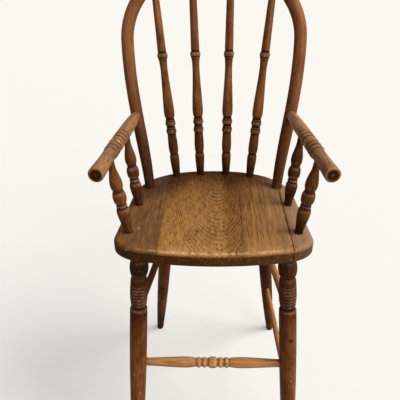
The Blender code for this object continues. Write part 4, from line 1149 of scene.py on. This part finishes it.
# Dirt and painted shade: the posts are darkened, the right ones and the rear ones most.
POST_DIRT_AND_SHADE = {
    "front_left": ((0.0, 0.85), (0.03, 0.64), (0.075, 0.66), (0.12, 0.52), (0.15, 0.6)),
    "front_right": ((0.0, 0.95), (0.02, 0.86), (0.03, 0.74), (0.12, 0.6), (0.15, 0.7)),
    "rear_left": ((0.0, 0.92), (0.03, 0.82), (0.075, 0.82), (0.12, 0.74), (0.15, 0.78)),
    "rear_right": ((0.0, 1.0), (0.03, 0.9), (0.08, 0.9), (0.12, 0.84), (0.15, 0.85)),
}
for row_number, (row, (foot, top, ball_height, arm_radius)) in enumerate(POST_LINES.items()):
    for side_name, side in SIDES.items():
        flip = Vector((side, 1, 1))
        outline = post_outline((top - foot).length, ball_height, arm_radius)
        pith = (0.018, 0.015 * side, 31.0 + 2 * row_number + 0.7 * side)
        corner = row + "_" + side_name
        bm = turn(outline, foot * flip, top * flip, pith, joints=(0.0,), dirt_and_shade=POST_DIRT_AND_SHADE[corner])
        node = "arm_post_" + corner
        dress(add_piece("turned_" + node, bm), BACK_WOOD, node)


# Floor, light and camera. A pale floor that runs on into a pale sky, soft light from the right and in
# front, and a camera in front of the chair that looks down on the seat.

STAGE_WHITE = tint(251, 248, 242)
BOUNCE_GREY = tint(92, 88, 82)
OWN_WHITE = 0.2
FLOOR_HALF = 30.0


def eye_rays(tree):
    """What the camera sees, straight or in a shine, and what only bounces on to the chair."""
    path = add_node(tree, "ShaderNodeLightPath", {}).outputs
    seen = work_out(tree, "MAXIMUM", path["Is Camera Ray"], path["Is Transmission Ray"])
    return work_out(tree, "MAXIMUM", seen, path["Is Glossy Ray"]), path["Is Diffuse Ray"]


stage_finish = bpy.data.materials.new("pale_floor")
stage_finish.use_nodes = True
tree = stage_finish.node_tree
stage_shader = tree.nodes["Principled BSDF"]
seen, bounced = eye_rays(tree)
lit_white = (*((1 - OWN_WHITE) * part for part in STAGE_WHITE[:3]), 1.0)
tree.links.new(blend(tree, bounced, lit_white, BOUNCE_GREY), stage_shader.inputs["Base Color"])
tree.links.new(work_out(tree, "MULTIPLY", seen, OWN_WHITE), stage_shader.inputs["Emission Strength"])
stage_shader.inputs["Emission Color"].default_value = STAGE_WHITE
stage_shader.inputs["Roughness"].default_value = 1.0
stage_shader.inputs["Specular IOR Level"].default_value = 0.0
bm = bmesh.new()
bmesh.ops.create_grid(bm, x_segments=1, y_segments=1, size=FLOOR_HALF)
floor = add_piece("floor", bm)
floor.data.materials.append(stage_finish)

WORLD_SHARE = 0.28
world = bpy.data.worlds.new("studio")
world.use_nodes = True
bpy.context.scene.world = world
sky = world.node_tree
seen, _ = eye_rays(sky)
lit = blend(sky, seen, (WORLD_SHARE, WORLD_SHARE, WORLD_SHARE, 1), STAGE_WHITE)
sky.links.new(lit, sky.nodes["Background"].inputs["Color"])

LAMPS = {
    "window": (0.52, math.radians(47), math.radians(-9), math.radians(34)),
    "low_window": (0.20, math.radians(25), math.radians(-52), math.radians(40)),
}
for lamp_name, (share, height, round_from_right, softness) in LAMPS.items():
    lamp_data = bpy.data.lights.new(lamp_name, "SUN")
    lamp_data.energy = math.pi * share / math.sin(height)
    lamp_data.angle = softness
    lamp = bpy.data.objects.new(lamp_name, lamp_data)
    bpy.context.scene.collection.objects.link(lamp)
    level = math.cos(height)
    towards_lamp = Vector((level * math.cos(round_from_right), level * math.sin(round_from_right), math.sin(height)))
    lamp.rotation_euler = towards_lamp.to_track_quat("Z", "Y").to_euler()

CAMERA_PLACE = Vector((-0.00182, -0.79359, 1.01870))
CAMERA_DIP = math.radians(30.016)
CAMERA_TURN = math.radians(1.790)
CAMERA_ROLL = math.radians(0.7415)
camera_data = bpy.data.cameras.new("camera")
camera_data.sensor_width = 36.0
camera_data.lens = 40.58
camera = bpy.data.objects.new("camera", camera_data)
bpy.context.scene.collection.objects.link(camera)
camera.matrix_world = (
    Matrix.Translation(CAMERA_PLACE)
    @ Matrix.Rotation(CAMERA_TURN, 4, "Z")
    @ Matrix.Rotation(math.pi / 2 - CAMERA_DIP, 4, "X")
    @ Matrix.Rotation(-CAMERA_ROLL, 4, "Z")
)
bpy.context.scene.camera = camera
bpy.context.scene.view_settings.view_transform = "Standard"
